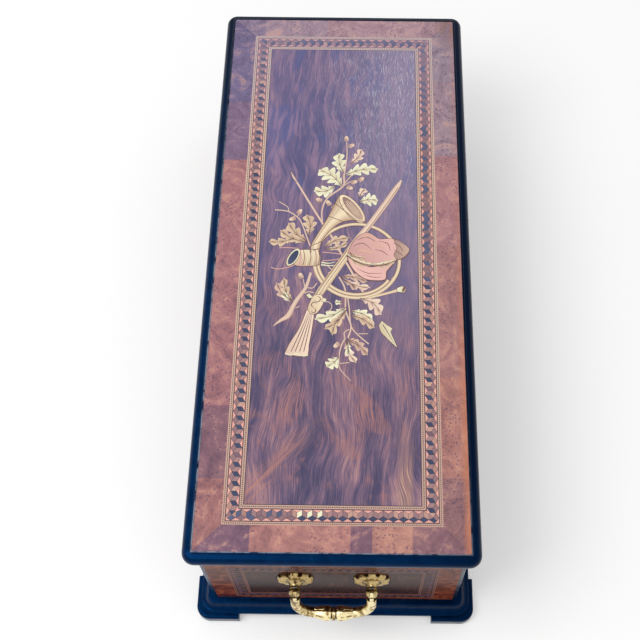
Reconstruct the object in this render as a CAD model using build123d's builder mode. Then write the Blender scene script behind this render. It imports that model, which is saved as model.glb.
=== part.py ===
"""Cylinder music box in a long veneered case.

A flat hinged lid covers an inner glass lid and a comb-and-cylinder movement on a cast bedplate.
X is the length of the case, the front faces -Y, Z is up and the feet stand on Z = 0.
All sizes are millimetres.
"""

from build123d import *

import os
from math import acos, atan2, cos, degrees, hypot, pi, radians, sin, tan

os.makedirs("parts", exist_ok=True)

# Case
case_length = 672.0
case_width = 270.0
case_wall = 10.0
case_top_z = 182.0
corner_strip_width = 4.0
corner_round = 1.5
floor_board_thickness = 10.0
floor_board_raise = 3.0
partition_thickness = 8.0
partition_setback = 56.0
batten_width = 20.0

# Feet and base moulding
foot_height = 13.0
foot_overhang = 21.0
foot_reach = 48.0
foot_depth = 28.0
foot_corner_radius = 15.0
foot_edge_round = 3.0
base_moulding_height = 15.0
base_moulding_overhang = 16.0
base_bead_overhang = 7.0
base_rim_height = 5.7
mitre_gap = 0.12

# Lid
lid_joint_gap = 0.3
lid_top_z = 218.0
lid_wall = 10.0
lid_board_thickness = 9.0
veneer_thickness = 1.0
lid_moulding_height = 14.5
lid_moulding_overhang = 11.0
lid_bead_rise = 0.6
crossbanding_width = 26.7
banding_width = 21.0
tune_card_length = 210.0
tune_card_width = 150.0
tune_card_thickness = 0.6

# Lid hinges
hinge_length = 60.0
hinge_spacing = 215.0
hinge_leaf_width = 9.5
hinge_leaf_thickness = 1.5
hinge_knuckle_radius = 3.0
hinge_pin_radius = 1.5
hinge_knuckles = 5

# Lock
lock_length = 56.0
lock_depth = 8.0
lock_height = 30.0
lock_plate_thickness = 1.6
bolt_travel = 5.0
bolt_height = 6.0
staple_drop = 11.0
staple_spacing = 30.0
staple_width = 6.6
staple_thickness = 3.0
staple_bridge = 1.4
staple_play = 0.7
bolt_thickness = 2.4
bolt_hook_width = 4.0
keyhole_drop = 17.0
keyhole_radius = 2.6
keyhole_slot_width = 2.6
keyhole_slot_drop = 8.0
escutcheon_height = 26.0
escutcheon_width = 17.0
escutcheon_thickness = 1.0

# Glass lid
glass_lid_thickness = 8.0
glass_lid_top_z = 178.0
glass_frame_width = 14.0
glass_thickness = 2.5
glass_side_gap = 1.0
glass_pivot_radius = 2.0
glass_pivot_inset = 6.5
glass_pivot_length = 8.0
glass_rebate_width = 3.0
glass_rebate_rise = 3.0
glass_front_gap = 2.0
glass_knob_radius = 5.0
knob_stem_radius = 1.5
knob_stem_depth = 4.0
knob_collar_height = 3.0
ledge_width = 6.0

# Carrying handles
handle_height = 118.0
handle_spacing = 80.0
handle_drop = 50.0
handle_hang_angle = 12.0
handle_pivot_reach = 15.5
rosette_radius = 20.0
post_radius = 6.0
bail_rod_radius = 5.4
bail_bend_radius = 24.0
bail_bend_angle = 75.0
bail_eye_radius = 4.6
bail_eye_thickness = 4.0
handle_pin_radius = 1.6
bail_leaf_radius = 8.2
bail_leaf_start = 2.6
bail_leaf_end = 22.0
bail_tie_radius = 7.4
bail_tie_width = 3.4
rosette_scallop_count = 10
rosette_scallop_radius = 3.2
rosette_scallop_depth = 1.6

# Bedplate
bedplate_length = 500.0
bedplate_width = 224.0
bedplate_thickness = 8.0
bedplate_top_z = 70.0
bedplate_chamfer = 1.5
bedplate_corner_radius = 10.0
bedplate_rib_width = 6.0
bedplate_rib_depth = 7.0
bedplate_screw_inset = 14.0
screw_radius = 3.0
screw_head_radius = 6.0
screw_head_height = 3.5
screw_depth = 22.0

# Fits
shaft_clearance = 0.05
running_gap = 0.3
seat_gap = 0.02

# Cylinder and its arbor
cylinder_radius = 31.0
cylinder_length = 310.0
cylinder_left_x = -140.0
cylinder_y = 45.0
movement_axis_z = 112.0
arbor_radius = 4.0
end_cap_rim = 1.2
end_cap_thickness = 4.0
bridge_thickness = 8.0
bridge_foot_height = 5.0
bridge_foot_lip = 4.0
cylinder_eye_radius = 10.0
cylinder_bridge_half = 16.0
barrel_eye_radius = 13.0
barrel_bridge_half = 24.0

# Gear train
tooth_thinning = 0.15
addendum = 0.8
dedendum = 1.15
pressure_angle = 20.0
drive_module = 1.25
barrel_teeth = 60
drive_pinion_teeth = 20
great_module = 1.0
great_teeth = 72
first_pinion_teeth = 12
great_wheel_thickness = 4.0
great_hub_radius = 9.0
great_crossing_radius = 11.0
great_rim_width = 7.0
snail_boss_radius = 5.0
second_module = 0.8
second_teeth = 48
second_pinion_teeth = 12
second_wheel_angle = 200.0
worm_wheel_teeth = 30
worm_radius = 4.0
worm_half_length = 12.0
fly_spindle_radius = 2.2

# Spring barrel and winding work
barrel_radius = 33.0
barrel_length = 52.0
barrel_gear_thickness = 8.0
barrel_wall = 2.0
barrel_right_x = -172.0
spring_thickness = 0.8
spring_height = 36.0
spring_turns = 8
winding_arbor_radius = 6.0
arbor_hub_radius = 11.0
ratchet_teeth = 18
ratchet_radius = 22.0
ratchet_tooth_depth = 4.0
ratchet_thickness = 5.0
click_reach = 36.0
click_rise = 19.0
click_lug_radius = 7.0
click_drop_angle = 60.0
lever_length = 84.0
lever_thickness = 5.0
lever_hub_radius = 14.0
lever_hub_length = 16.0
lever_hub_setback = 14.0
arbor_end_radius = 8.0
arbor_end_thickness = 3.0
lever_rest_angle = 25.0
lever_tip_radius = 5.0
grip_pin_radius = 2.5
grip_pin_length = 20.0
grip_radius = 6.0

# Comb
tooth_count = 72
tooth_pitch = 4.1
tooth_gap = 0.6
comb_thickness = 5.0
comb_back_y = -50.0
bass_root_y = -24.0
treble_root_y = -6.0
comb_tip_gap = 0.8
tip_thickness = 0.8
tongue_thickness = 2.2
lead_count = 20
bass_lead_drop = 11.0
comb_screw_count = 9
comb_screw_radius = 2.0
comb_screw_head_radius = 4.0
comb_screw_head_height = 2.4
comb_screw_depth = 9.0
comb_screw_setback = 10.0
comb_base_width = 22.0
comb_foot_front = 16.0
comb_foot_back = 34.0
comb_foot_height = 7.0
comb_foot_slope = 2.0

# Tune change
tune_count = 8
tune_step = 0.35
snail_radius = 9.0
snail_rim = 0.8
snail_pin_radius = 2.0
star_point_size = 2.6
snail_orbit = 22.0
snail_angle = 240.0
follower_radius = 1.0

# Governor
governor_left_x = 184.0
governor_plate = 3.0
governor_inside = 37.0
fan_radius = 12.0
fan_height = 20.0
fan_bottom_z = 122.0
fan_hub_radius = 3.6
fan_sheet_thickness = 0.8
fan_margin = 2.0
cock_z = 150.0
cock_thickness = 4.0
cock_eye_radius = 5.0
cock_width = 12.0
governor_eye_radius = 7.0
governor_base_front = 16.0
governor_base_back = 11.0

# Control levers
control_shaft_radius = 3.0
control_shaft_z = 128.0
start_shaft_y = -70.0
change_shaft_y = 92.0
control_lever_length = 42.0
control_lever_x = 292.0
control_lever_thickness = 4.0
start_finger_length = 26.0
change_finger_length = 18.0
control_turn = 40.0
control_root_radius = 6.0
control_tip_radius = 3.5
control_thumb_radius = 5.0
finger_root_radius = 4.5
finger_tip_radius = 1.5
control_post_radius = 7.0
control_foot_width = 20.0
control_foot_height = 4.0

# Sizes that follow from the values above
half_length = case_length / 2
half_width = case_width / 2
inner_half_length = half_length - case_wall
inner_half_width = half_width - case_wall
floor_top_z = foot_height + floor_board_raise + floor_board_thickness
well_x = inner_half_length - partition_setback
movement_half_x = well_x - partition_thickness
lid_bottom_z = case_top_z + lid_joint_gap
lid_board_top_z = lid_top_z - veneer_thickness
lid_board_bottom_z = lid_board_top_z - lid_board_thickness
lid_moulding_bottom_z = lid_top_z - lid_moulding_height
hinge_axis_y = half_width + hinge_knuckle_radius + running_gap
hinge_axis_z = case_top_z + lid_joint_gap / 2
glass_bottom_z = glass_lid_top_z - glass_lid_thickness
bedplate_bottom_z = bedplate_top_z - bedplate_thickness
cylinder_right_x = cylinder_left_x + cylinder_length
cylinder_mid_x = (cylinder_left_x + cylinder_right_x) / 2
barrel_y = cylinder_y - drive_module * (barrel_teeth + drive_pinion_teeth) / 2
barrel_left_x = barrel_right_x - barrel_length
first_y = cylinder_y - great_module * (great_teeth + first_pinion_teeth) / 2
first_z = movement_axis_z
second_distance = second_module * (second_teeth + second_pinion_teeth) / 2
second_y = first_y + second_distance * cos(radians(second_wheel_angle))
second_z = first_z + second_distance * sin(radians(second_wheel_angle))
worm_wheel_radius = second_module * worm_wheel_teeth / 2
fly_y = second_y - worm_wheel_radius - worm_radius
great_wheel_x = cylinder_right_x + 6.0
governor_right_x = governor_left_x + governor_plate + governor_inside
fly_x = governor_left_x + governor_plate + governor_inside / 2 + 0.5
comb_tip_y = cylinder_y - cylinder_radius - comb_tip_gap
comb_top_z = movement_axis_z + tip_thickness / 2 + 0.6
comb_bottom_z = comb_top_z - comb_thickness


def box_between(x0, x1, y0, y1, z0, z1, mode=Mode.ADD):
    """Adds or cuts a box given by its lowest and highest corners."""
    with Locations(((x0 + x1) / 2, (y0 + y1) / 2, (z0 + z1) / 2)):
        Box(x1 - x0, y1 - y0, z1 - z0, mode=mode)


def rod_x(x0, x1, y, z, radius, mode=Mode.ADD):
    """Adds or cuts a round rod that runs along X."""
    with Locations(Location(((x0 + x1) / 2, y, z), (0, 90, 0))):
        Cylinder(radius, x1 - x0, mode=mode)


def rod_y(y0, y1, x, z, radius, mode=Mode.ADD):
    """Adds or cuts a round rod that runs along Y."""
    with Locations(Location((x, (y0 + y1) / 2, z), (90, 0, 0))):
        Cylinder(radius, y1 - y0, mode=mode)


def rod_z(z0, z1, x, y, radius, mode=Mode.ADD):
    """Adds or cuts a round rod that stands along Z."""
    with Locations((x, y, (z0 + z1) / 2)):
        Cylinder(radius, z1 - z0, mode=mode)


def involute(radius, base_radius):
    """Angle in radians that an involute has turned at a radius."""
    angle = acos(min(1.0, base_radius / radius))
    return tan(angle) - angle


def tooth_points(centre_y, centre_z, teeth, module, phase, flank_steps):
    """Outline of a spur wheel with one tooth centred at the phase angle, in degrees."""
    pitch_radius = module * teeth / 2
    base_radius = pitch_radius * cos(radians(pressure_angle))
    root_radius = pitch_radius - dedendum * module
    tip_radius = pitch_radius + addendum * module
    half_tooth = pi / 2 / teeth - tooth_thinning / 2 / pitch_radius + involute(pitch_radius, base_radius)
    flank = []
    for step in range(flank_steps + 1):
        radius = root_radius + (tip_radius - root_radius) * step / flank_steps
        flank.append((radius, half_tooth - involute(radius, base_radius)))
    points = []
    for tooth in range(teeth):
        middle = radians(phase) + 2 * pi * tooth / teeth
        sides = [(r, middle - w) for r, w in flank] + [(r, middle + w) for r, w in reversed(flank)]
        points += [(centre_y + r * cos(angle), centre_z + r * sin(angle)) for r, angle in sides]
    return points


def spur_wheel(x0, thickness, y, z, teeth, module, phase, flank_steps=1):
    """Adds a toothed disc that lies across X, with its left face at x0."""
    with BuildSketch(Plane.YZ.offset(x0)) as profile:
        with BuildLine():
            Polyline(*tooth_points(y, z, teeth, module, phase, flank_steps), close=True)
        make_face()
    extrude(profile.sketch, amount=thickness)


def crossings(x0, thickness, y, z, inner_radius, outer_radius, arms, arm_width):
    """Cuts the windows between the arms of a wheel."""
    with BuildSketch(Plane.YZ.offset(x0)) as windows:
        with Locations((y, z)):
            Circle(outer_radius)
            Circle(inner_radius, mode=Mode.SUBTRACT)
            with PolarLocations(0, arms):
                with Locations((outer_radius / 2, 0)):
                    Rectangle(outer_radius + 2, arm_width, mode=Mode.SUBTRACT)
    extrude(windows.sketch, amount=thickness, mode=Mode.SUBTRACT)


def slotted_screws(places, z, head_radius, head_height, shank_radius, depth):
    """Adds cheese-head screws whose heads seat on height z."""
    for x, y in places:
        rod_z(z, z + head_height, x, y, head_radius)
        rod_z(z - depth, z, x, y, shank_radius)
        slot = head_radius / 5
        box_between(x - head_radius, x + head_radius, y - slot / 2, y + slot / 2,
                    z + head_height * 0.55, z + head_height, mode=Mode.SUBTRACT)


def screw_holes(places, z0, z1, shank_radius):
    """Cuts the holes that take a row of screws."""
    for x, y in places:
        rod_z(z0, z1, x, y, shank_radius + shaft_clearance, mode=Mode.SUBTRACT)


def save(builder, name):
    """Labels a finished piece and writes it to its own file."""
    builder.part.label = name
    export_step(builder.part, f"parts/{name}.step")


# Case walls

lock_inner_y = -inner_half_width
lock_outer_y = lock_inner_y - lock_depth
keyhole_z = case_top_z - keyhole_drop
leaf_y0 = half_width - hinge_leaf_width
hinge_centres = [-hinge_spacing, 0.0, hinge_spacing]

with BuildPart() as case_front:
    box_between(-half_length + corner_strip_width, half_length - corner_strip_width,
                -half_width, -inner_half_width, foot_height, case_top_z)
    box_between(-lock_length / 2, lock_length / 2, lock_outer_y, lock_inner_y,
                case_top_z - lock_height, case_top_z, mode=Mode.SUBTRACT)
    rod_y(-half_width, lock_outer_y, 0, keyhole_z, keyhole_radius, mode=Mode.SUBTRACT)
    box_between(-keyhole_slot_width / 2, keyhole_slot_width / 2, -half_width, lock_outer_y,
                keyhole_z - keyhole_slot_drop, keyhole_z, mode=Mode.SUBTRACT)
save(case_front, "case_front")

with BuildPart() as case_back:
    box_between(-half_length + corner_strip_width, half_length - corner_strip_width,
                inner_half_width, half_width, foot_height, case_top_z)
    for centre in hinge_centres:
        box_between(centre - hinge_length / 2, centre + hinge_length / 2, inner_half_width, half_width,
                    hinge_axis_z - hinge_leaf_thickness, case_top_z, mode=Mode.SUBTRACT)
save(case_back, "case_back")


def case_end(side):
    """Adds an end wall that laps round the ends of the front and back boards."""
    inner_x = side * inner_half_length
    lap_x = side * (half_length - corner_strip_width)
    outer_x = side * half_length
    x_low, x_high = sorted((inner_x, lap_x))
    box_between(x_low, x_high, -inner_half_width, inner_half_width, foot_height, case_top_z)
    x_low, x_high = sorted((lap_x, outer_x))
    lap_y = half_width - corner_strip_width
    box_between(x_low, x_high, -lap_y, lap_y, foot_height, case_top_z)


with BuildPart() as case_left_end:
    case_end(-1)
save(case_left_end, "case_left_end")

with BuildPart() as case_right_end:
    case_end(1)
save(case_right_end, "case_right_end")

with BuildPart() as corner_strips:
    with BuildSketch(Plane.XY.offset(foot_height)):
        with GridLocations(case_length - corner_strip_width, case_width - corner_strip_width, 2, 2):
            Rectangle(corner_strip_width, corner_strip_width)
    extrude(amount=case_top_z - foot_height)
    outer_edges = corner_strips.edges().filter_by(Axis.Z)
    fillet([e for e in outer_edges if hypot(abs(e.center().X) - half_length,
                                            abs(e.center().Y) - half_width) < 0.1], corner_round)
save(corner_strips, "corner_strips")

with BuildPart() as floor_board:
    box_between(-inner_half_length, inner_half_length, -inner_half_width, inner_half_width,
                foot_height + floor_board_raise, floor_top_z)
save(floor_board, "floor_board")

with BuildPart() as left_partition:
    box_between(-well_x, -movement_half_x, -inner_half_width, inner_half_width, floor_top_z, glass_lid_top_z)
    rod_x(-well_x, -movement_half_x, barrel_y, movement_axis_z, winding_arbor_radius + 1, mode=Mode.SUBTRACT)
    rod_x(-movement_half_x - glass_pivot_radius * 2, -movement_half_x, inner_half_width - glass_pivot_inset,
          glass_lid_top_z - glass_lid_thickness / 2, glass_pivot_radius + shaft_clearance, mode=Mode.SUBTRACT)
save(left_partition, "left_partition")

with BuildPart() as right_partition:
    box_between(movement_half_x, well_x, -inner_half_width, inner_half_width, floor_top_z, glass_lid_top_z)
    for shaft_y in (start_shaft_y, change_shaft_y):
        rod_x(movement_half_x, well_x, shaft_y, control_shaft_z,
              control_shaft_radius + shaft_clearance, mode=Mode.SUBTRACT)
    rod_x(movement_half_x, movement_half_x + glass_pivot_radius * 2, inner_half_width - glass_pivot_inset,
          glass_lid_top_z - glass_lid_thickness / 2, glass_pivot_radius + shaft_clearance, mode=Mode.SUBTRACT)
save(right_partition, "right_partition")

# Battens that carry the bedplate, and ledges under the glass lid

bed_half_x = bedplate_length / 2
bed_half_y = bedplate_width / 2
bed_screw_x = bed_half_x - bedplate_screw_inset
bed_screw_y = inner_half_width - batten_width * 0.82
bed_screw_places = [(x, y) for x in (-bed_screw_x, bed_screw_x) for y in (-bed_screw_y, bed_screw_y)]

with BuildPart() as case_battens:
    for side in (-1, 1):
        y_low, y_high = sorted((side * inner_half_width, side * (inner_half_width - batten_width)))
        box_between(-movement_half_x, movement_half_x, y_low, y_high, floor_top_z, bedplate_bottom_z)
    screw_holes(bed_screw_places, bedplate_bottom_z - screw_depth, bedplate_bottom_z, screw_radius)
    for side in (-1, 1):
        x_low, x_high = sorted((side * movement_half_x, side * (movement_half_x - ledge_width)))
        box_between(x_low, x_high, -inner_half_width, inner_half_width - 2 * glass_pivot_inset,
                    glass_bottom_z - running_gap - ledge_width, glass_bottom_z - running_gap)
save(case_battens, "case_battens")

# Mouldings that run round the body, mitred at the corners


def cut_mitres(z0, z1, reach):
    """Saws a ring of moulding apart on its four diagonals."""
    for side_x in (-1, 1):
        for side_y in (-1, 1):
            corner = (side_x * half_length, side_y * half_width, (z0 + z1) / 2)
            with Locations(Location(corner, (0, 0, side_x * side_y * 45))):
                Box(reach * 3, mitre_gap, z1 - z0 + 4, mode=Mode.SUBTRACT)


with BuildSketch() as body_plan:
    RectangleRounded(case_length, case_width, corner_round)
body_outline = body_plan.sketch.faces()[0].outer_wire()


def moulding_plane(z):
    """Section plane at the start of the outline, with x pointing out of the case and y up."""
    start = body_outline @ 0
    return Plane(origin=(start.X, start.Y, z), x_dir=(-1, 0, 0), z_dir=-(body_outline % 0))


with BuildPart() as base_moulding:
    with BuildSketch(moulding_plane(foot_height)):
        with BuildLine():
            rim = base_moulding_overhang
            bead = base_bead_overhang
            height = base_moulding_height
            step = base_rim_height
            Polyline((0, height), (0, 0), (rim - 1, 0), (rim, 1), (rim, step - 1.2), (rim - 1.6, step))
            cove = ThreePointArc((rim - 1.6, step), ((rim + bead) / 2 - 1.6, step + 2.4),
                                 (bead + 0.6, height - 2.2))
            edge = ThreePointArc(cove @ 1, (bead, height - 0.6), (bead - 1.4, height))
            Line(edge @ 1, (0, height))
        make_face()
    sweep(path=body_outline)
    cut_mitres(foot_height, foot_height + base_moulding_height, base_moulding_overhang)
save(base_moulding, "base_moulding")

with BuildPart() as bracket_feet:
    with BuildSketch():
        with GridLocations(case_length + 2 * foot_overhang - foot_reach,
                           case_width + 2 * foot_overhang - foot_reach, 2, 2):
            Rectangle(foot_reach, foot_reach)
        Rectangle(case_length + 2 * foot_overhang - 2 * foot_depth,
                  case_width + 2 * foot_overhang - 2 * foot_depth, mode=Mode.SUBTRACT)
    extrude(amount=foot_height)
    uprights = bracket_feet.edges().filter_by(Axis.Z)
    corner_x = half_length + foot_overhang
    corner_y = half_width + foot_overhang
    fillet([e for e in uprights if abs(e.center().X) > corner_x - 0.1 and abs(e.center().Y) > corner_y - 0.1],
           foot_corner_radius)
    outer_top = bracket_feet.faces().sort_by(Axis.Z)[-4:].edges()
    fillet([e for e in outer_top if abs(e.center().X) > half_length + base_moulding_overhang
            or abs(e.center().Y) > half_width + base_moulding_overhang], foot_edge_round)
save(bracket_feet, "bracket_feet")

# Lid

with BuildPart() as lid_frame:
    with BuildSketch(Plane.XY.offset(lid_bottom_z)):
        RectangleRounded(case_length, case_width, corner_round)
        Rectangle(case_length - 2 * lid_wall, case_width - 2 * lid_wall, mode=Mode.SUBTRACT)
    extrude(amount=lid_board_bottom_z - lid_bottom_z)
    cut_mitres(lid_bottom_z, lid_board_bottom_z, lid_wall)
    for centre in hinge_centres:
        box_between(centre - hinge_length / 2, centre + hinge_length / 2, inner_half_width, half_width,
                    lid_bottom_z, hinge_axis_z + hinge_leaf_thickness, mode=Mode.SUBTRACT)
    box_between(-lock_length / 2, lock_length / 2, lock_outer_y, lock_inner_y,
                lid_bottom_z, lid_bottom_z + lock_plate_thickness, mode=Mode.SUBTRACT)
save(lid_frame, "lid_frame")

with BuildPart() as lid_board:
    with BuildSketch(Plane.XY.offset(lid_board_bottom_z)):
        RectangleRounded(case_length, case_width, corner_round)
    extrude(amount=lid_board_thickness)
save(lid_board, "lid_board")

banding_length = case_length - 2 * crossbanding_width
banding_breadth = case_width - 2 * crossbanding_width
field_length = banding_length - 2 * banding_width
field_width = banding_breadth - 2 * banding_width

with BuildPart() as lid_crossbanding:
    with BuildSketch(Plane.XY.offset(lid_board_top_z)):
        RectangleRounded(case_length, case_width, corner_round)
        Rectangle(banding_length, banding_breadth, mode=Mode.SUBTRACT)
    extrude(amount=veneer_thickness)
    cut_mitres(lid_board_top_z, lid_top_z, crossbanding_width)
save(lid_crossbanding, "lid_crossbanding")

with BuildPart() as lid_banding:
    with BuildSketch(Plane.XY.offset(lid_board_top_z)):
        Rectangle(banding_length, banding_breadth)
        Rectangle(field_length, field_width, mode=Mode.SUBTRACT)
    extrude(amount=veneer_thickness)
save(lid_banding, "lid_banding")

with BuildPart() as lid_field:
    with BuildSketch(Plane.XY.offset(lid_board_top_z)):
        Rectangle(field_length, field_width)
    extrude(amount=veneer_thickness)
save(lid_field, "lid_field")

with BuildPart() as lid_moulding:
    with BuildSketch(moulding_plane(lid_moulding_bottom_z)):
        with BuildLine():
            top = lid_moulding_height
            nose = lid_moulding_overhang
            Line((0, 0), (nose - 2.5, 0))
            ThreePointArc((nose - 2.5, 0), (nose - 0.7, 1.8), (nose, 4.5))
            brow = ThreePointArc((nose, 4.5), (nose - 1.0, top - 5.5), (nose - 4.2, top - 2.2))
            Line(brow @ 1, (2.6, top - 1.2))
            bead = ThreePointArc((2.6, top - 1.2), (1.6, top + lid_bead_rise), (0, top + lid_bead_rise * 0.4))
            Line(bead @ 1, (0, 0))
        make_face()
    sweep(path=body_outline)
    cut_mitres(lid_moulding_bottom_z, lid_top_z, lid_moulding_overhang)
save(lid_moulding, "lid_moulding")

with BuildPart() as tune_card:
    box_between(-tune_card_length / 2, tune_card_length / 2, -tune_card_width / 2, tune_card_width / 2,
                lid_board_bottom_z - tune_card_thickness, lid_board_bottom_z)
save(tune_card, "tune_card")

# Butt hinges of the lid

knuckle_pitch = hinge_length / hinge_knuckles


def hinge_leaf(centre, first_knuckle, z0, z1):
    """Adds one hinge leaf with its own knuckles round the lid axis."""
    box_between(centre - hinge_length / 2, centre + hinge_length / 2, leaf_y0, half_width, z0, z1)
    for knuckle in range(first_knuckle, hinge_knuckles, 2):
        x0 = centre - hinge_length / 2 + knuckle * knuckle_pitch + running_gap / 2
        x1 = x0 + knuckle_pitch - running_gap
        rod_x(x0, x1, hinge_axis_y, hinge_axis_z, hinge_knuckle_radius)
        box_between(x0, x1, half_width - 1, hinge_axis_y, z0, z1)
        rod_x(x0, x1, hinge_axis_y, hinge_axis_z, hinge_pin_radius + shaft_clearance, mode=Mode.SUBTRACT)


with BuildPart() as case_hinge_leaves:
    for centre in hinge_centres:
        hinge_leaf(centre, 0, hinge_axis_z - hinge_leaf_thickness, case_top_z)
        rod_x(centre - hinge_length / 2, centre + hinge_length / 2, hinge_axis_y, hinge_axis_z,
              hinge_pin_radius)
save(case_hinge_leaves, "case_hinge_leaves")

with BuildPart() as lid_hinge_leaves:
    for centre in hinge_centres:
        hinge_leaf(centre, 1, lid_bottom_z, hinge_axis_z + hinge_leaf_thickness)
save(lid_hinge_leaves, "lid_hinge_leaves")

# Box lock with a sliding bolt, and the staples that it catches

lock_mid_y = (lock_inner_y + lock_outer_y) / 2
bolt_z = case_top_z - staple_drop + 3.5
staple_y0 = lock_mid_y - staple_thickness / 2
staple_y1 = lock_mid_y + staple_thickness / 2

with BuildPart() as lock_body:
    box_between(-lock_length / 2, lock_length / 2, lock_outer_y, lock_inner_y,
                case_top_z - lock_height, case_top_z)
    box_between(-lock_length / 2 + lock_plate_thickness, lock_length / 2 - lock_plate_thickness,
                lock_outer_y + lock_plate_thickness, lock_inner_y - lock_plate_thickness,
                case_top_z - lock_height + lock_plate_thickness, case_top_z - lock_plate_thickness,
                mode=Mode.SUBTRACT)
    for side in (-1, 1):
        centre = side * staple_spacing / 2
        box_between(centre - staple_width / 2 - staple_play, centre + staple_width / 2 + staple_play,
                    staple_y0 - staple_play, staple_y1 + staple_play,
                    case_top_z - lock_plate_thickness, case_top_z, mode=Mode.SUBTRACT)
    rod_y(lock_outer_y, lock_outer_y + lock_plate_thickness, 0, keyhole_z, keyhole_radius, mode=Mode.SUBTRACT)
save(lock_body, "lock_body")

bolt_y0 = lock_outer_y + lock_plate_thickness + seat_gap
bolt_y1 = staple_y0 - running_gap
bolt_left_x = -lock_length / 2 + lock_plate_thickness + running_gap
bolt_right_x = lock_length / 2 - lock_plate_thickness - running_gap - bolt_travel
bolt_floor_z = case_top_z - lock_height + lock_plate_thickness

with BuildPart() as lock_bolt:
    box_between(bolt_left_x, bolt_right_x, bolt_y0, bolt_y1,
                bolt_floor_z + seat_gap, bolt_floor_z + bolt_height)
    for side in (-1, 1):
        hook_x = side * staple_spacing / 2 - staple_width / 2 - running_gap
        box_between(hook_x - bolt_hook_width, hook_x, bolt_y0, bolt_y1,
                    bolt_floor_z + bolt_height, bolt_z + bolt_thickness)
        box_between(hook_x - bolt_hook_width, hook_x, bolt_y0, staple_y1, bolt_z, bolt_z + bolt_thickness)
save(lock_bolt, "lock_bolt")

with BuildPart() as lock_link_plate:
    box_between(-lock_length / 2, lock_length / 2, lock_outer_y, lock_inner_y,
                lid_bottom_z, lid_bottom_z + lock_plate_thickness)
    for side in (-1, 1):
        centre = side * staple_spacing / 2
        box_between(centre - staple_width / 2, centre + staple_width / 2, staple_y0, staple_y1,
                    case_top_z - staple_drop, lid_bottom_z)
        box_between(centre - staple_width / 2, centre + staple_width / 2 - staple_bridge,
                    staple_y0, staple_y1, bolt_z - 2 * running_gap,
                    bolt_z + bolt_thickness + 2 * running_gap, mode=Mode.SUBTRACT)
save(lock_link_plate, "lock_link_plate")

with BuildPart() as keyhole_escutcheon:
    with BuildSketch(Plane.XZ.offset(half_width)):
        with Locations((0, keyhole_z - 3)):
            Ellipse(escutcheon_width / 2, escutcheon_height / 2)
        with Locations((0, keyhole_z)):
            Circle(keyhole_radius, mode=Mode.SUBTRACT)
        with Locations((0, keyhole_z - keyhole_slot_drop / 2)):
            Rectangle(keyhole_slot_width, keyhole_slot_drop, mode=Mode.SUBTRACT)
    extrude(amount=escutcheon_thickness)
save(keyhole_escutcheon, "keyhole_escutcheon")

# Inner glass lid

glass_x = movement_half_x - glass_side_gap
glass_axis_y = inner_half_width - glass_pivot_inset
glass_axis_z = glass_lid_top_z - glass_lid_thickness / 2
glass_front_y = -inner_half_width + glass_front_gap
glass_back_y = glass_axis_y + glass_lid_thickness / 2
knob_y = glass_front_y + glass_frame_width / 2
pivot_socket_depth = glass_pivot_radius * 2
pane_z = glass_bottom_z + glass_rebate_rise
pane_half_x = glass_x - glass_frame_width + glass_rebate_width
pane_y0 = glass_front_y + glass_frame_width - glass_rebate_width
pane_y1 = glass_back_y - glass_frame_width + glass_rebate_width

with BuildPart() as glass_lid_frame:
    box_between(-glass_x, glass_x, glass_front_y, glass_back_y, glass_bottom_z, glass_lid_top_z)
    box_between(-glass_x + glass_frame_width, glass_x - glass_frame_width,
                glass_front_y + glass_frame_width, glass_back_y - glass_frame_width,
                glass_bottom_z, glass_lid_top_z, mode=Mode.SUBTRACT)
    box_between(-pane_half_x, pane_half_x, pane_y0, pane_y1, pane_z, pane_z + glass_thickness,
                mode=Mode.SUBTRACT)
    back_edges = glass_lid_frame.edges().filter_by(Axis.X).filter_by_position(
        Axis.Y, glass_back_y - 0.01, glass_back_y + 0.01)
    fillet(back_edges, glass_lid_thickness / 2 - 0.2)
    for side in (-1, 1):
        x_low, x_high = sorted((side * glass_x, side * (glass_x - glass_pivot_length)))
        rod_x(x_low, x_high, glass_axis_y, glass_axis_z, glass_pivot_radius + seat_gap, mode=Mode.SUBTRACT)
    rod_z(glass_lid_top_z - knob_stem_depth, glass_lid_top_z, 0, knob_y,
          knob_stem_radius + seat_gap, mode=Mode.SUBTRACT)
save(glass_lid_frame, "glass_lid_frame")

with BuildPart() as glass_lid_pane:
    box_between(-pane_half_x, pane_half_x, pane_y0, pane_y1, pane_z, pane_z + glass_thickness)
save(glass_lid_pane, "glass_lid_pane")

with BuildPart() as glass_lid_pivots:
    for side in (-1, 1):
        outer_x = movement_half_x + pivot_socket_depth - 0.5
        x_low, x_high = sorted((side * (glass_x - glass_pivot_length), side * outer_x))
        rod_x(x_low, x_high, glass_axis_y, glass_axis_z, glass_pivot_radius)
save(glass_lid_pivots, "glass_lid_pivots")

with BuildPart() as glass_lid_knob:
    rod_z(glass_lid_top_z - knob_stem_depth, glass_lid_top_z + knob_collar_height, 0, knob_y,
          knob_stem_radius)
    with Locations((0, knob_y, glass_lid_top_z + knob_collar_height / 2)):
        Cone(2.2 * knob_stem_radius, 1.2 * knob_stem_radius, knob_collar_height)
    with Locations((0, knob_y, glass_lid_top_z + knob_collar_height + 0.8 * glass_knob_radius)):
        Sphere(glass_knob_radius)
save(glass_lid_knob, "glass_lid_knob")

# Bedplate

comb_length = tooth_count * tooth_pitch
comb_x0 = cylinder_mid_x - comb_length / 2

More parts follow.
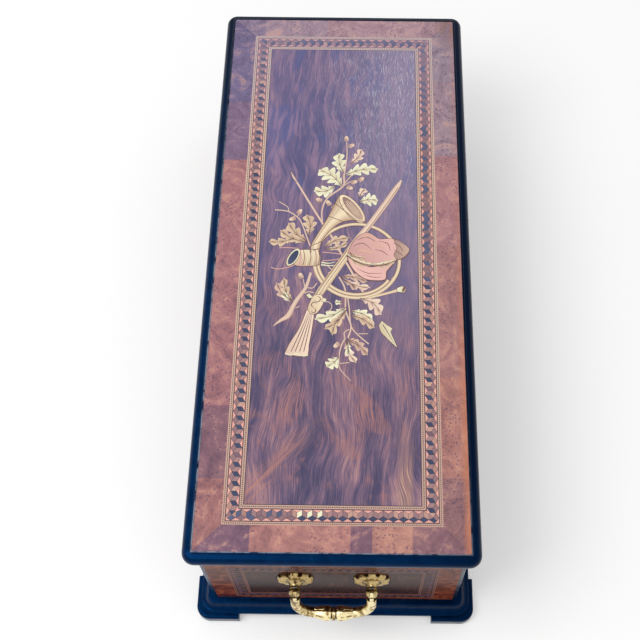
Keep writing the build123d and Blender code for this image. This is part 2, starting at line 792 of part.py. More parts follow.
with BuildPart() as bedplate:
    with BuildSketch(Plane.XY.offset(bedplate_bottom_z)):
        RectangleRounded(bedplate_length, bedplate_width, bedplate_corner_radius)
    extrude(amount=bedplate_thickness)
    chamfer(bedplate.faces().sort_by(Axis.Z)[-1].edges(), bedplate_chamfer)
    for rib_y in (-bed_half_y / 2, bed_half_y / 2):
        box_between(-bed_half_x + bedplate_corner_radius, bed_half_x - bedplate_corner_radius,
                    rib_y - bedplate_rib_width / 2, rib_y + bedplate_rib_width / 2,
                    bedplate_bottom_z - bedplate_rib_depth, bedplate_bottom_z)
    screw_holes(bed_screw_places, bedplate_bottom_z, bedplate_top_z, screw_radius)
save(bedplate, "bedplate")

with BuildPart() as bedplate_screws:
    slotted_screws(bed_screw_places, bedplate_top_z, screw_head_radius, screw_head_height,
                   screw_radius, bedplate_thickness + screw_depth - 2)
save(bedplate_screws, "bedplate_screws")

# Comb, its base and its screws

comb_screw_y = comb_back_y + comb_screw_setback
comb_screw_pitch = comb_length / comb_screw_count
comb_screw_places = [(comb_x0 + comb_screw_pitch * (n + 0.5), comb_screw_y) for n in range(comb_screw_count)]

with BuildPart() as comb_base:
    with BuildSketch(Plane.YZ.offset(comb_x0)):
        with BuildLine():
            web_y = comb_back_y + comb_base_width
            foot_top_z = bedplate_top_z + comb_foot_height
            foot_root_z = foot_top_z + comb_foot_slope
            Polyline((comb_back_y - comb_foot_front, bedplate_top_z),
                     (comb_back_y + comb_foot_back, bedplate_top_z),
                     (comb_back_y + comb_foot_back, foot_top_z), (web_y + 4, foot_root_z),
                     (web_y, comb_bottom_z - 6), (web_y, comb_bottom_z),
                     (comb_back_y, comb_bottom_z), (comb_back_y, comb_bottom_z - 8),
                     (comb_back_y - 4, foot_root_z), (comb_back_y - comb_foot_front, foot_top_z),
                     close=True)
        make_face()
    extrude(amount=comb_length)
    screw_holes(comb_screw_places, comb_bottom_z - comb_screw_depth, comb_bottom_z, comb_screw_radius)
save(comb_base, "comb_base")


def tooth_root_y(tooth):
    """Where a tooth leaves the body of the comb, from the long bass teeth to the short treble ones."""
    return bass_root_y + (treble_root_y - bass_root_y) * tooth / (tooth_count - 1)


with BuildPart() as comb:
    tip_z = movement_axis_z
    with BuildSketch(Plane.YZ.offset(comb_x0)):
        with BuildLine():
            Polyline((comb_back_y, comb_bottom_z), (comb_back_y, comb_top_z),
                     (bass_root_y - 2, comb_top_z), (comb_tip_y, tip_z + tip_thickness / 2),
                     (comb_tip_y, tip_z - tip_thickness / 2),
                     (bass_root_y + 2, comb_top_z - tongue_thickness - 0.6),
                     (bass_root_y - 2, comb_bottom_z), close=True)
        make_face()
    extrude(amount=comb_length)
    screw_holes(comb_screw_places, comb_bottom_z, comb_top_z, comb_screw_radius)
    for lead in range(lead_count):
        drop = bass_lead_drop * (1 - lead / lead_count)
        x0 = comb_x0 + lead * tooth_pitch + tooth_gap / 2
        with BuildSketch(Plane.YZ.offset(x0)):
            with BuildLine():
                Polyline((comb_tip_y - 8, tip_z - 0.3), (comb_tip_y - 1, tip_z - 0.3),
                         (comb_tip_y - 1.6, tip_z - 1 - drop), (comb_tip_y - 7, tip_z - 1 - drop * 0.7),
                         close=True)
            make_face()
        extrude(amount=tooth_pitch - tooth_gap)
    for gap in range(tooth_count - 1):
        x = comb_x0 + (gap + 1) * tooth_pitch
        box_between(x - tooth_gap / 2, x + tooth_gap / 2, tooth_root_y(gap), comb_tip_y + 1,
                    bedplate_top_z, comb_top_z + 1, mode=Mode.SUBTRACT)
save(comb, "comb")

with BuildPart() as comb_screws:
    slotted_screws(comb_screw_places, comb_top_z, comb_screw_head_radius, comb_screw_head_height,
                   comb_screw_radius, comb_thickness + comb_screw_depth - 1)
save(comb_screws, "comb_screws")

# Pinned cylinder, its arbor and the great wheel

snail_y = cylinder_y + snail_orbit * cos(radians(snail_angle))
snail_z = movement_axis_z + snail_orbit * sin(radians(snail_angle))
snail_right_x = great_wheel_x - running_gap
star_thickness = 1.5
snail_floor_x = snail_right_x - star_thickness - 0.5
follower_y = snail_y
follower_z = snail_z + snail_radius * 0.65

with BuildPart() as music_cylinder:
    rod_x(cylinder_left_x, cylinder_right_x, cylinder_y, movement_axis_z, cylinder_radius)
    for x0, x1 in ((cylinder_left_x, cylinder_left_x + end_cap_thickness),
                   (cylinder_right_x - end_cap_thickness, cylinder_right_x)):
        rod_x(x0, x1, cylinder_y, movement_axis_z, cylinder_radius + end_cap_rim)
    rod_x(cylinder_right_x, snail_floor_x - running_gap, follower_y, follower_z, follower_radius)
    rod_x(cylinder_left_x, cylinder_right_x, cylinder_y, movement_axis_z,
          arbor_radius + shaft_clearance, mode=Mode.SUBTRACT)
save(music_cylinder, "music_cylinder")

left_bearing_x = barrel_right_x - 24
right_bearing_x = great_wheel_x + great_wheel_thickness + 8
drive_pinion_phase = 180 + 180 / drive_pinion_teeth

with BuildPart() as cylinder_arbor:
    rod_x(left_bearing_x - 1, right_bearing_x + bridge_thickness + 1, cylinder_y, movement_axis_z,
          arbor_radius)
    spur_wheel(barrel_right_x - barrel_gear_thickness, barrel_gear_thickness, cylinder_y, movement_axis_z,
               drive_pinion_teeth, drive_module, drive_pinion_phase, flank_steps=2)
save(cylinder_arbor, "cylinder_arbor")

great_radius = great_module * great_teeth / 2

with BuildPart() as great_wheel:
    spur_wheel(great_wheel_x, great_wheel_thickness, cylinder_y, movement_axis_z, great_teeth,
               great_module, 180)
    crossings(great_wheel_x, great_wheel_thickness, cylinder_y, movement_axis_z, great_crossing_radius,
              great_radius - great_rim_width, 6, 7)
    rod_x(great_wheel_x, great_wheel_x + great_wheel_thickness + 4, cylinder_y, movement_axis_z,
          great_hub_radius)
    rod_x(great_wheel_x, great_wheel_x + great_wheel_thickness, snail_y, snail_z, snail_boss_radius)
    rod_x(snail_floor_x - tune_step * tune_count + 1, great_wheel_x, snail_y, snail_z, snail_pin_radius)
    rod_x(great_wheel_x, great_wheel_x + great_wheel_thickness + 4, cylinder_y, movement_axis_z,
          arbor_radius + seat_gap, mode=Mode.SUBTRACT)
save(great_wheel, "great_wheel")

with BuildPart() as tune_snail:
    with BuildSketch(Plane.YZ.offset(snail_right_x - star_thickness)):
        with Locations((snail_y, snail_z)):
            Circle(snail_radius)
            with PolarLocations(snail_radius, tune_count):
                RegularPolygon(star_point_size, 3)
    extrude(amount=star_thickness)
    snail_lowest_x = snail_floor_x - tune_step * (tune_count - 1)
    rod_x(snail_lowest_x, snail_right_x - star_thickness, snail_y, snail_z, snail_radius - snail_rim)
    sector = 2 * pi / tune_count
    for tune in range(tune_count - 1):
        first = pi / 2 - sector * (tune + 0.5)
        wedge = [(snail_y + 2 * snail_radius * cos(angle), snail_z + 2 * snail_radius * sin(angle))
                 for angle in (first, first + sector / 2, first + sector)]
        with BuildSketch(Plane.YZ.offset(snail_floor_x - tune_step * tune)):
            with BuildLine():
                Polyline((snail_y, snail_z), *wedge, close=True)
            make_face()
        extrude(amount=-tune_step * tune_count, mode=Mode.SUBTRACT)
    rod_x(snail_lowest_x, snail_right_x, snail_y, snail_z, snail_pin_radius + shaft_clearance,
          mode=Mode.SUBTRACT)
save(tune_snail, "tune_snail")


def bridge(x0, y, bore_radius, eye_radius, foot_half):
    """Adds a bearing bridge that stands on the bedplate across X, with its foot and its bore."""
    with BuildSketch(Plane.YZ.offset(x0)) as web:
        with Locations((y, movement_axis_z)):
            Circle(eye_radius)
        with Locations((y, bedplate_top_z + bridge_foot_height / 2)):
            Rectangle(foot_half * 1.5, bridge_foot_height)
        make_hull()
    extrude(web.sketch, amount=bridge_thickness)
    box_between(x0 - bridge_foot_lip, x0 + bridge_thickness + bridge_foot_lip, y - foot_half, y + foot_half,
                bedplate_top_z, bedplate_top_z + bridge_foot_height)
    rod_x(x0, x0 + bridge_thickness, y, movement_axis_z, bore_radius, mode=Mode.SUBTRACT)


with BuildPart() as cylinder_bridges:
    for x0 in (left_bearing_x, right_bearing_x):
        bridge(x0, cylinder_y, arbor_radius + shaft_clearance, cylinder_eye_radius, cylinder_bridge_half)
save(cylinder_bridges, "cylinder_bridges")

# Spring barrel, mainspring and winding work

bridge_gap = 2.0
barrel_bridge_left_x = barrel_left_x - bridge_gap - bridge_thickness
barrel_bridge_right_x = barrel_right_x + bridge_gap + 2
ratchet_x = barrel_bridge_left_x - 1 - ratchet_thickness
cover_thickness = 2.0
drum_left_x = barrel_left_x + cover_thickness

with BuildPart() as spring_barrel:
    rod_x(drum_left_x, barrel_right_x, barrel_y, movement_axis_z, barrel_radius)
    spur_wheel(barrel_right_x - barrel_gear_thickness, barrel_gear_thickness, barrel_y, movement_axis_z,
               barrel_teeth, drive_module, 0)
    rod_x(drum_left_x, barrel_right_x - barrel_gear_thickness, barrel_y, movement_axis_z,
          barrel_radius - barrel_wall, mode=Mode.SUBTRACT)
    rod_x(barrel_right_x - barrel_gear_thickness, barrel_right_x, barrel_y, movement_axis_z,
          winding_arbor_radius + shaft_clearance, mode=Mode.SUBTRACT)
save(spring_barrel, "spring_barrel")

with BuildPart() as barrel_cover:
    rod_x(barrel_left_x, drum_left_x, barrel_y, movement_axis_z, barrel_radius)
    rod_x(barrel_left_x, drum_left_x, barrel_y, movement_axis_z,
          winding_arbor_radius + shaft_clearance, mode=Mode.SUBTRACT)
save(barrel_cover, "barrel_cover")

with BuildPart() as mainspring:
    spring_x = drum_left_x + 2
    spring_inner = arbor_hub_radius + 1.0
    spring_outer = barrel_radius - barrel_wall - spring_thickness / 2 - 0.2
    growth = (spring_outer - spring_inner) / (2 * spring_turns)
    for half in range(2 * spring_turns):
        radius = spring_inner + growth * (half + 0.5)
        side = 1 if half % 2 == 0 else -1
        shift = side * growth / 2
        with BuildSketch(Plane.YZ.offset(spring_x)):
            with Locations((barrel_y + shift, movement_axis_z)):
                Circle(radius + spring_thickness / 2)
                Circle(radius - spring_thickness / 2, mode=Mode.SUBTRACT)
                with Locations((0, -side * 2 * radius)):
                    Rectangle(4 * radius, 4 * radius, mode=Mode.SUBTRACT)
        extrude(amount=spring_height)
save(mainspring, "mainspring")

lever_hub_x1 = -well_x - lever_hub_setback
lever_hub_x0 = lever_hub_x1 - lever_hub_length
arbor_left_x = lever_hub_x0 - 2

with BuildPart() as winding_arbor:
    rod_x(arbor_left_x, barrel_bridge_right_x + bridge_thickness, barrel_y, movement_axis_z,
          winding_arbor_radius)
    rod_x(drum_left_x + running_gap, barrel_right_x - barrel_gear_thickness - running_gap, barrel_y,
          movement_axis_z, arbor_hub_radius)
    rod_x(arbor_left_x - arbor_end_thickness, arbor_left_x, barrel_y, movement_axis_z, arbor_end_radius)
save(winding_arbor, "winding_arbor")

with BuildPart() as ratchet_wheel:
    with BuildSketch(Plane.YZ.offset(ratchet_x)):
        with BuildLine():
            saw = []
            for tooth in range(ratchet_teeth):
                angle = radians(click_drop_angle + 360 / ratchet_teeth * (tooth + 0.5))
                inner = ratchet_radius - ratchet_tooth_depth
                for radius in (inner, ratchet_radius):
                    saw.append((barrel_y + radius * cos(angle), movement_axis_z + radius * sin(angle)))
            Polyline(*saw, close=True)
        make_face()
    extrude(amount=ratchet_thickness)
    rod_x(ratchet_x, ratchet_x + ratchet_thickness, barrel_y, movement_axis_z,
          winding_arbor_radius + seat_gap, mode=Mode.SUBTRACT)
save(ratchet_wheel, "ratchet_wheel")

click_nose_radius = 1.6
nose_distance = ratchet_radius + click_nose_radius + running_gap
nose_y = barrel_y + nose_distance * cos(radians(click_drop_angle))
nose_z = movement_axis_z + nose_distance * sin(radians(click_drop_angle))
click_y = barrel_y + click_reach
click_z = movement_axis_z + click_rise
click_eye_radius = 5.0
click_pin_radius = 2.0

with BuildPart() as barrel_bridges:
    with BuildSketch(Plane.YZ.offset(barrel_bridge_left_x)):
        with Locations((barrel_y, movement_axis_z)):
            Circle(barrel_eye_radius)
        with Locations((click_y, click_z)):
            Circle(click_lug_radius)
        make_hull()
    extrude(amount=bridge_thickness)
    for x0 in (barrel_bridge_left_x, barrel_bridge_right_x):
        bridge(x0, barrel_y, winding_arbor_radius + shaft_clearance, barrel_eye_radius, barrel_bridge_half)
    rod_x(ratchet_x - 1, barrel_bridge_left_x, click_y, click_z, click_pin_radius)
save(barrel_bridges, "barrel_bridges")

with BuildPart() as ratchet_click:
    with BuildSketch(Plane.YZ.offset(ratchet_x)):
        with Locations((nose_y, nose_z)):
            Circle(click_nose_radius)
        with Locations((click_y, click_z)):
            Circle(click_eye_radius)
        make_hull()
        with Locations((click_y, click_z)):
            Circle(click_pin_radius + shaft_clearance, mode=Mode.SUBTRACT)
    extrude(amount=ratchet_thickness)
save(ratchet_click, "ratchet_click")

lever_tip_y = barrel_y + lever_length * cos(radians(lever_rest_angle))
lever_tip_z = movement_axis_z + lever_length * sin(radians(lever_rest_angle))
lever_x0 = (lever_hub_x0 + lever_hub_x1 - lever_thickness) / 2

with BuildPart() as winding_lever:
    with BuildSketch(Plane.YZ.offset(lever_x0)):
        with Locations((barrel_y, movement_axis_z)):
            Circle(lever_hub_radius * 0.7)
        with Locations((lever_tip_y, lever_tip_z)):
            Circle(lever_tip_radius)
        make_hull()
    extrude(amount=lever_thickness)
    rod_x(lever_hub_x0, lever_hub_x1, barrel_y, movement_axis_z, lever_hub_radius)
    rod_x(lever_x0 - grip_pin_length, lever_x0, lever_tip_y, lever_tip_z, grip_pin_radius)
    rod_x(lever_hub_x0, lever_hub_x1, barrel_y, movement_axis_z,
          winding_arbor_radius + shaft_clearance, mode=Mode.SUBTRACT)
save(winding_lever, "winding_lever")

with BuildPart() as lever_grip:
    grip_x0 = lever_x0 - grip_pin_length
    with BuildSketch(Plane(origin=(grip_x0, lever_tip_y, lever_tip_z), x_dir=(1, 0, 0), z_dir=(0, 0, 1))):
        with BuildLine():
            neck = grip_pin_length - 0.5
            Line((-1.5, 0), (-1.5, 3))
            belly = ThreePointArc((-1.5, 3), (6, grip_radius), (13, 4.6))
            waist = ThreePointArc(belly @ 1, (17, 3.9), (neck, 4.6))
            Line(waist @ 1, (neck, 0))
            Line((neck, 0), (-1.5, 0))
        make_face()
    revolve(axis=Axis((grip_x0, lever_tip_y, lever_tip_z), (1, 0, 0)))
    rod_x(grip_x0, lever_x0, lever_tip_y, lever_tip_z, grip_pin_radius + seat_gap, mode=Mode.SUBTRACT)
save(lever_grip, "lever_grip")

# Governor: two arbors, an endless screw and a fan

plate_in_x0 = governor_left_x
plate_in_x1 = governor_left_x + governor_plate
plate_out_x0 = governor_right_x
plate_out_x1 = governor_right_x + governor_plate
base_y0 = fly_y - governor_base_front
base_y1 = first_y + governor_base_back
journal_radius = 2.0
pivot_radius = 1.5
spindle_radius = 2.5

with BuildPart() as governor_frame:
    box_between(plate_in_x0, plate_out_x1, base_y0, base_y1, bedplate_top_z, bedplate_top_z + governor_plate)
    for x0 in (plate_in_x0, plate_out_x0):
        with BuildSketch(Plane.YZ.offset(x0)):
            with Locations((first_y, first_z), (second_y, second_z)):
                Circle(governor_eye_radius)
            with Locations(((base_y0 + base_y1) / 2, bedplate_top_z + governor_plate / 2)):
                Rectangle(base_y1 - base_y0, governor_plate)
            make_hull()
        extrude(amount=governor_plate)
    box_between(plate_out_x0, plate_out_x1, fly_y - cock_width / 2, fly_y + cock_width / 2,
                bedplate_top_z, cock_z)
    rod_x(plate_in_x0, plate_in_x1, first_y, first_z, journal_radius + shaft_clearance, mode=Mode.SUBTRACT)
    rod_x(plate_out_x0, plate_out_x1, first_y, first_z, pivot_radius + shaft_clearance, mode=Mode.SUBTRACT)
    for x0 in (plate_in_x0, plate_out_x0):
        rod_x(x0, x0 + governor_plate, second_y, second_z, pivot_radius + shaft_clearance, mode=Mode.SUBTRACT)
    rod_z(bedplate_top_z + 1, bedplate_top_z + governor_plate, fly_x, fly_y,
          pivot_radius + shaft_clearance, mode=Mode.SUBTRACT)
save(governor_frame, "governor_frame")

with BuildPart() as governor_cock:
    with BuildSketch(Plane.XY.offset(cock_z)):
        with Locations((fly_x, fly_y)):
            Circle(cock_eye_radius)
        with Locations((governor_right_x, fly_y)):
            Rectangle(governor_plate * 2, cock_width)
        make_hull()
        with Locations((fly_x, fly_y)):
            Circle(pivot_radius + shaft_clearance, mode=Mode.SUBTRACT)
    extrude(amount=cock_thickness)
save(governor_cock, "governor_cock")

first_wheel_x = plate_in_x1 + 3

with BuildPart() as governor_first_wheel:
    rod_x(great_wheel_x - 1.5, plate_in_x0 - running_gap, first_y, first_z, spindle_radius)
    rod_x(plate_in_x0 - running_gap, plate_in_x1 + running_gap, first_y, first_z, journal_radius)
    rod_x(plate_in_x1 + running_gap, plate_out_x0 - running_gap, first_y, first_z, spindle_radius)
    rod_x(plate_out_x0 - running_gap, plate_out_x1, first_y, first_z, pivot_radius)
    spur_wheel(great_wheel_x - 1, great_wheel_thickness + 2, first_y, first_z, first_pinion_teeth,
               great_module, 180 / first_pinion_teeth, flank_steps=2)
    spur_wheel(first_wheel_x, 3, first_y, first_z, second_teeth, second_module, second_wheel_angle)
    crossings(first_wheel_x, 3, first_y, first_z, 5, second_module * second_teeth / 2 - 4, 4, 4)
save(governor_first_wheel, "governor_first_wheel")

with BuildPart() as governor_second_wheel:
    rod_x(plate_in_x0, plate_in_x1 + running_gap, second_y, second_z, pivot_radius)
    rod_x(plate_in_x1 + running_gap, plate_out_x0 - running_gap, second_y, second_z, spindle_radius)
    rod_x(plate_out_x0 - running_gap, plate_out_x1, second_y, second_z, pivot_radius)
    spur_wheel(first_wheel_x - 0.5, 4, second_y, second_z, second_pinion_teeth, second_module,
               second_wheel_angle + 180 + 180 / second_pinion_teeth, flank_steps=2)
    spur_wheel(fly_x - 2, 4, second_y, second_z, worm_wheel_teeth, second_module, 0)
save(governor_second_wheel, "governor_second_wheel")

with BuildPart() as worm:
    worm_root = worm_radius - dedendum * second_module - 0.2
    rod_z(bedplate_top_z + 1 + running_gap, cock_z + cock_thickness - 0.5, fly_x, fly_y, pivot_radius)
    rod_z(bedplate_top_z + governor_plate + running_gap, cock_z - running_gap, fly_x, fly_y,
          fly_spindle_radius)
    rod_z(second_z - worm_half_length, second_z + worm_half_length, fly_x, fly_y, worm_root)
save(worm, "worm")

with BuildPart() as fan:
    fan_top_z = fan_bottom_z + fan_height
    rod_z(fan_bottom_z, fan_top_z, fly_x, fly_y, fan_hub_radius)
    box_between(fly_x - fan_radius, fly_x + fan_radius,
                fly_y - fan_sheet_thickness / 2, fly_y + fan_sheet_thickness / 2,
                fan_bottom_z + fan_margin, fan_top_z - fan_margin)
    rod_z(fan_bottom_z, fan_top_z, fly_x, fly_y, fly_spindle_radius + seat_gap, mode=Mode.SUBTRACT)
save(fan, "fan")

# Control levers in the right-hand well

start_post_x = plate_out_x1 + 5
change_post_x = right_bearing_x + bridge_thickness + 6
post_thickness = 6.0


def control_lever(shaft_y, shaft_x0, finger_thickness, finger_length, finger_angle, lever_angle):
    """Adds a shaft with a finger at the movement and a thumb lever in the well."""
    rod_x(shaft_x0, control_lever_x + control_lever_thickness, shaft_y, control_shaft_z, control_shaft_radius)
    for x0, length, angle, root, tip, thick in (
            (shaft_x0, finger_length, finger_angle, finger_root_radius, finger_tip_radius,
             finger_thickness),
            (control_lever_x, control_lever_length, lever_angle, control_root_radius,
             control_tip_radius, control_lever_thickness)):
        with BuildSketch(Plane.YZ.offset(x0)) as arm:
            with Locations((shaft_y, control_shaft_z)):
                Circle(root)
            with Locations((shaft_y + length * cos(radians(angle)),
                            control_shaft_z + length * sin(radians(angle)))):
                Circle(tip)
            make_hull()
        extrude(arm.sketch, amount=thick)
    knob_y = shaft_y + control_lever_length * cos(radians(lever_angle))
    knob_z = control_shaft_z + control_lever_length * sin(radians(lever_angle))
    with Locations((control_lever_x + control_lever_thickness / 2, knob_y, knob_z)):
        Sphere(control_thumb_radius)


change_reach = degrees(atan2(movement_axis_z - control_shaft_z, cylinder_y - change_shaft_y)) % 360

with BuildPart() as start_lever:
    control_lever(start_shaft_y, fly_x - 2, 4, start_finger_length, -control_turn, 90 - control_turn / 2)
save(start_lever, "start_lever")

with BuildPart() as change_lever:
    control_lever(change_shaft_y, snail_floor_x - 0.5, 2, change_finger_length, change_reach + control_turn,
                  90 + control_turn / 2)
save(change_lever, "change_lever")

with BuildPart() as control_posts:
    for x0, shaft_y in ((start_post_x, start_shaft_y), (change_post_x, change_shaft_y)):
        with BuildSketch(Plane.YZ.offset(x0)):
            with Locations((shaft_y, control_shaft_z)):
                Circle(control_post_radius)
            with Locations((shaft_y, bedplate_top_z + control_foot_height / 2)):
                Rectangle(control_foot_width, control_foot_height)
            make_hull()
            with Locations((shaft_y, control_shaft_z)):
                Circle(control_shaft_radius + shaft_clearance, mode=Mode.SUBTRACT)
        extrude(amount=post_thickness)
save(control_posts, "control_posts")

# Carrying handles

bail_half = handle_spacing / 2


def handle_posts(side):
    """Adds the two rosettes with their slotted posts and hinge pins at one end of the case."""
    face_x = side * half_length
    axis_x = side * (half_length + handle_pivot_reach)
    tip = handle_pivot_reach + 5
    for y in (-bail_half, bail_half):
        with BuildSketch(Plane(origin=(face_x, y, handle_height), x_dir=(side, 0, 0),
                               z_dir=(0, -side, 0))) as profile:
            with BuildLine():
                Line((0, 0), (0, rosette_radius))
                dish = ThreePointArc((0, rosette_radius), (2.0, rosette_radius - 1),
                                     (3.4, rosette_radius * 0.72))
                hollow = ThreePointArc(dish @ 1, (3.6, rosette_radius * 0.55), (5.0, post_radius + 2))
                throat = ThreePointArc(hollow @ 1, (8.5, post_radius - 0.4), (12, post_radius))
                nose = ThreePointArc(throat @ 1, (tip - 1.5, post_radius - 1.5), (tip, 0))
                Line(nose @ 1, (0, 0))
            make_face()
        revolve(profile.sketch, axis=Axis((face_x, y, handle_height), (1, 0, 0)))
        with Locations(Plane(origin=(face_x, y, handle_height), x_dir=(0, 1, 0), z_dir=(side, 0, 0))):
            with PolarLocations(rosette_radius + rosette_scallop_depth, rosette_scallop_count):
                Cylinder(rosette_scallop_radius, handle_pivot_reach, mode=Mode.SUBTRACT)
    for y in (-bail_half, bail_half):
        slot = bail_eye_thickness / 2 + running_gap
        slot_x = face_x + side * (handle_pivot_reach - bail_eye_radius - 1)
        x_low, x_high = sorted((slot_x, face_x + side * 2 * tip))
        box_between(x_low, x_high, y - slot, y + slot, handle_height - rosette_radius,
                    handle_height + rosette_radius, mode=Mode.SUBTRACT)
        rod_y(y - 7, y + 7, axis_x, handle_height, handle_pin_radius + seat_gap, mode=Mode.SUBTRACT)
    for y in (-bail_half, bail_half):
        rod_y(y - 5, y + 5, axis_x, handle_height, handle_pin_radius)


def bail(side):
    """Adds the swinging bail of one handle, hanging a little out from the case."""
    lean = radians(handle_hang_angle)
    axis_x = side * (half_length + handle_pivot_reach)
    down = Vector(side * sin(lean), 0, -cos(lean))
    across = Vector(0, 1, 0)
    bend = radians(bail_bend_angle)
    foot_y = bail_half - bail_bend_radius * (1 - cos(bend))
    foot_drop = handle_drop - foot_y * tan((pi / 2 - bend) / 2)
    shoulder = foot_drop - bail_bend_radius * sin(bend)
    bend_y = bail_half - bail_bend_radius * (1 - cos(bend / 2))
    bend_drop = shoulder + bail_bend_radius * sin(bend / 2)
    with BuildLine(Plane(origin=(axis_x, 0, handle_height), x_dir=across, z_dir=across.cross(down))) as path:
        Line((-bail_half, 1), (-bail_half, shoulder))
        ThreePointArc((-bail_half, shoulder), (-bend_y, bend_drop), (-foot_y, foot_drop))
        ThreePointArc((-foot_y, foot_drop), (0, handle_drop), (foot_y, foot_drop))
        ThreePointArc((foot_y, foot_drop), (bend_y, bend_drop), (bail_half, shoulder))
        Line((bail_half, shoulder), (bail_half, 1))
    with BuildSketch(Plane(origin=path.line @ 0, x_dir=across, z_dir=path.line % 0)) as rod:
        Circle(bail_rod_radius)
    sweep(rod.sketch, path=path.line)
    eye_half = bail_eye_thickness / 2
    for y in (-bail_half, bail_half):
        for cheek in (-1, 1):
            middle = (axis_x, y + cheek * (eye_half + bail_rod_radius), handle_height)
            with Locations(Location(middle, (0, -side * handle_hang_angle, 0))):
                Box(40, 2 * bail_rod_radius, 2 * (post_radius + 3.5), mode=Mode.SUBTRACT)
        rod_y(y - eye_half, y + eye_half, axis_x, handle_height, bail_eye_radius)
        rod_y(y - eye_half, y + eye_half, axis_x, handle_height, handle_pin_radius + shaft_clearance,
              mode=Mode.SUBTRACT)
    centre = Vector(axis_x, 0, handle_height) + down * handle_drop
    for cheek in (-1, 1):
        outward = (across * cheek * foot_y + down * (foot_drop - handle_drop)).normalized()
        with BuildSketch(Plane(origin=centre, x_dir=outward, z_dir=outward.cross(down))) as leaf:
            with BuildLine():
                swell = Spline((bail_leaf_start, bail_rod_radius + 0.8),
                               (bail_leaf_start + 4, bail_leaf_radius),
                               (bail_leaf_end * 0.6, bail_leaf_radius - 1.2),
                               (bail_leaf_end, bail_rod_radius - 0.6))
                Polyline(swell @ 1, (bail_leaf_end, 0), (bail_leaf_start, 0), swell @ 0)
            make_face()
        revolve(leaf.sketch, axis=Axis(centre, outward))
    rod_y(-bail_tie_width / 2, bail_tie_width / 2, centre.X, centre.Z, bail_tie_radius)


for side, end_name in ((-1, "left"), (1, "right")):
    with BuildPart() as posts:
        handle_posts(side)
    save(posts, f"{end_name}_handle_posts")
    with BuildPart() as handle_bail:
        bail(side)
    save(handle_bail, f"{end_name}_bail")
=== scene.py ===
"""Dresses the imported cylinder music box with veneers, inlay, metal finishes and small ornament.

Lengths are written in millimetres and turned into metres by the helpers. The lid's picture is drawn in
its own coordinates: u to the right as seen from the left end, v away from that end, from the lid's middle.
A colour of three numbers holds display values from 0 to 255; one of four is linear, as Blender keeps it.
"""
import random
from math import cos, hypot, pi, radians, sin
import bpy
from mathutils import Matrix, Vector


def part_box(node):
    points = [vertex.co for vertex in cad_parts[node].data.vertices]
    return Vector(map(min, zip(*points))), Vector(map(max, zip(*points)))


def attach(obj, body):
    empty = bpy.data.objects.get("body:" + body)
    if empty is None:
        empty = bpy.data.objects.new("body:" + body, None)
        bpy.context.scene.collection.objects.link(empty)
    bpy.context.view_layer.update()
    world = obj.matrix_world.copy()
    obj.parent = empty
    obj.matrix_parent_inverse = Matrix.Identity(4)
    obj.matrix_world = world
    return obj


MM = 0.001
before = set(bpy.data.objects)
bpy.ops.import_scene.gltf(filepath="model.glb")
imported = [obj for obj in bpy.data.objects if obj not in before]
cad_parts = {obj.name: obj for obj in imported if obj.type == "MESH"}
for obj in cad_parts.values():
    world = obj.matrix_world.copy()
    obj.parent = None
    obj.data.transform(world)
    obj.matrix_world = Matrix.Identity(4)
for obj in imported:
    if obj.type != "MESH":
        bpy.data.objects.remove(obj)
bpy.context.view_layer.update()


def box(name):
    """The lowest and the highest corner of a node, in millimetres."""
    return [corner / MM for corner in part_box(name)]


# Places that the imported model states
lid_top = box("lid_field")[1].z
band_x, band_y = box("lid_banding")[1].xy
veneer_x, veneer_y = box("lid_crossbanding")[1].xy
case_low, case_high = box("case_left_end")
case_x, case_y = -case_low.x, -box("case_front")[0].y
# How far each level of inlay stands proud of its ground, what each further shape adds to that, and after
# how many shapes the adding starts again
proud, layer_step, layer_count = 0.03, 0.0005, 56


def linear(colour):
    """A colour as Blender's linear one."""
    if len(colour) == 4:
        return colour
    parts = [value / 255 for value in colour]
    return (*[part / 12.92 if part <= 0.04045 else ((part + 0.055) / 1.055) ** 2.4 for part in parts], 1)


class Value:
    """A number or vector that a material's nodes work out, with ordinary arithmetic."""

    def __init__(self, look, socket):
        self.look, self.socket = look, socket

    def op(self, operation, *others):
        return self.look.math(operation, self, *others)

    def __add__(self, other):
        return self.op("ADD", other)

    def __sub__(self, other):
        return self.op("SUBTRACT", other)

    def __mul__(self, other):
        return self.op("MULTIPLY", other)

    __radd__, __rmul__ = __add__, __mul__

    def __abs__(self):
        return self.op("ABSOLUTE")

    def smooth(self, low, high, start=0, end=1):
        """Goes smoothly from start to end while this value goes from low to high."""
        return self.look.node("MapRange", {"Value": self, "From Min": low, "From Max": high, "To Min": start,
                                           "To Max": end}, "Result", interpolation_type="SMOOTHSTEP")


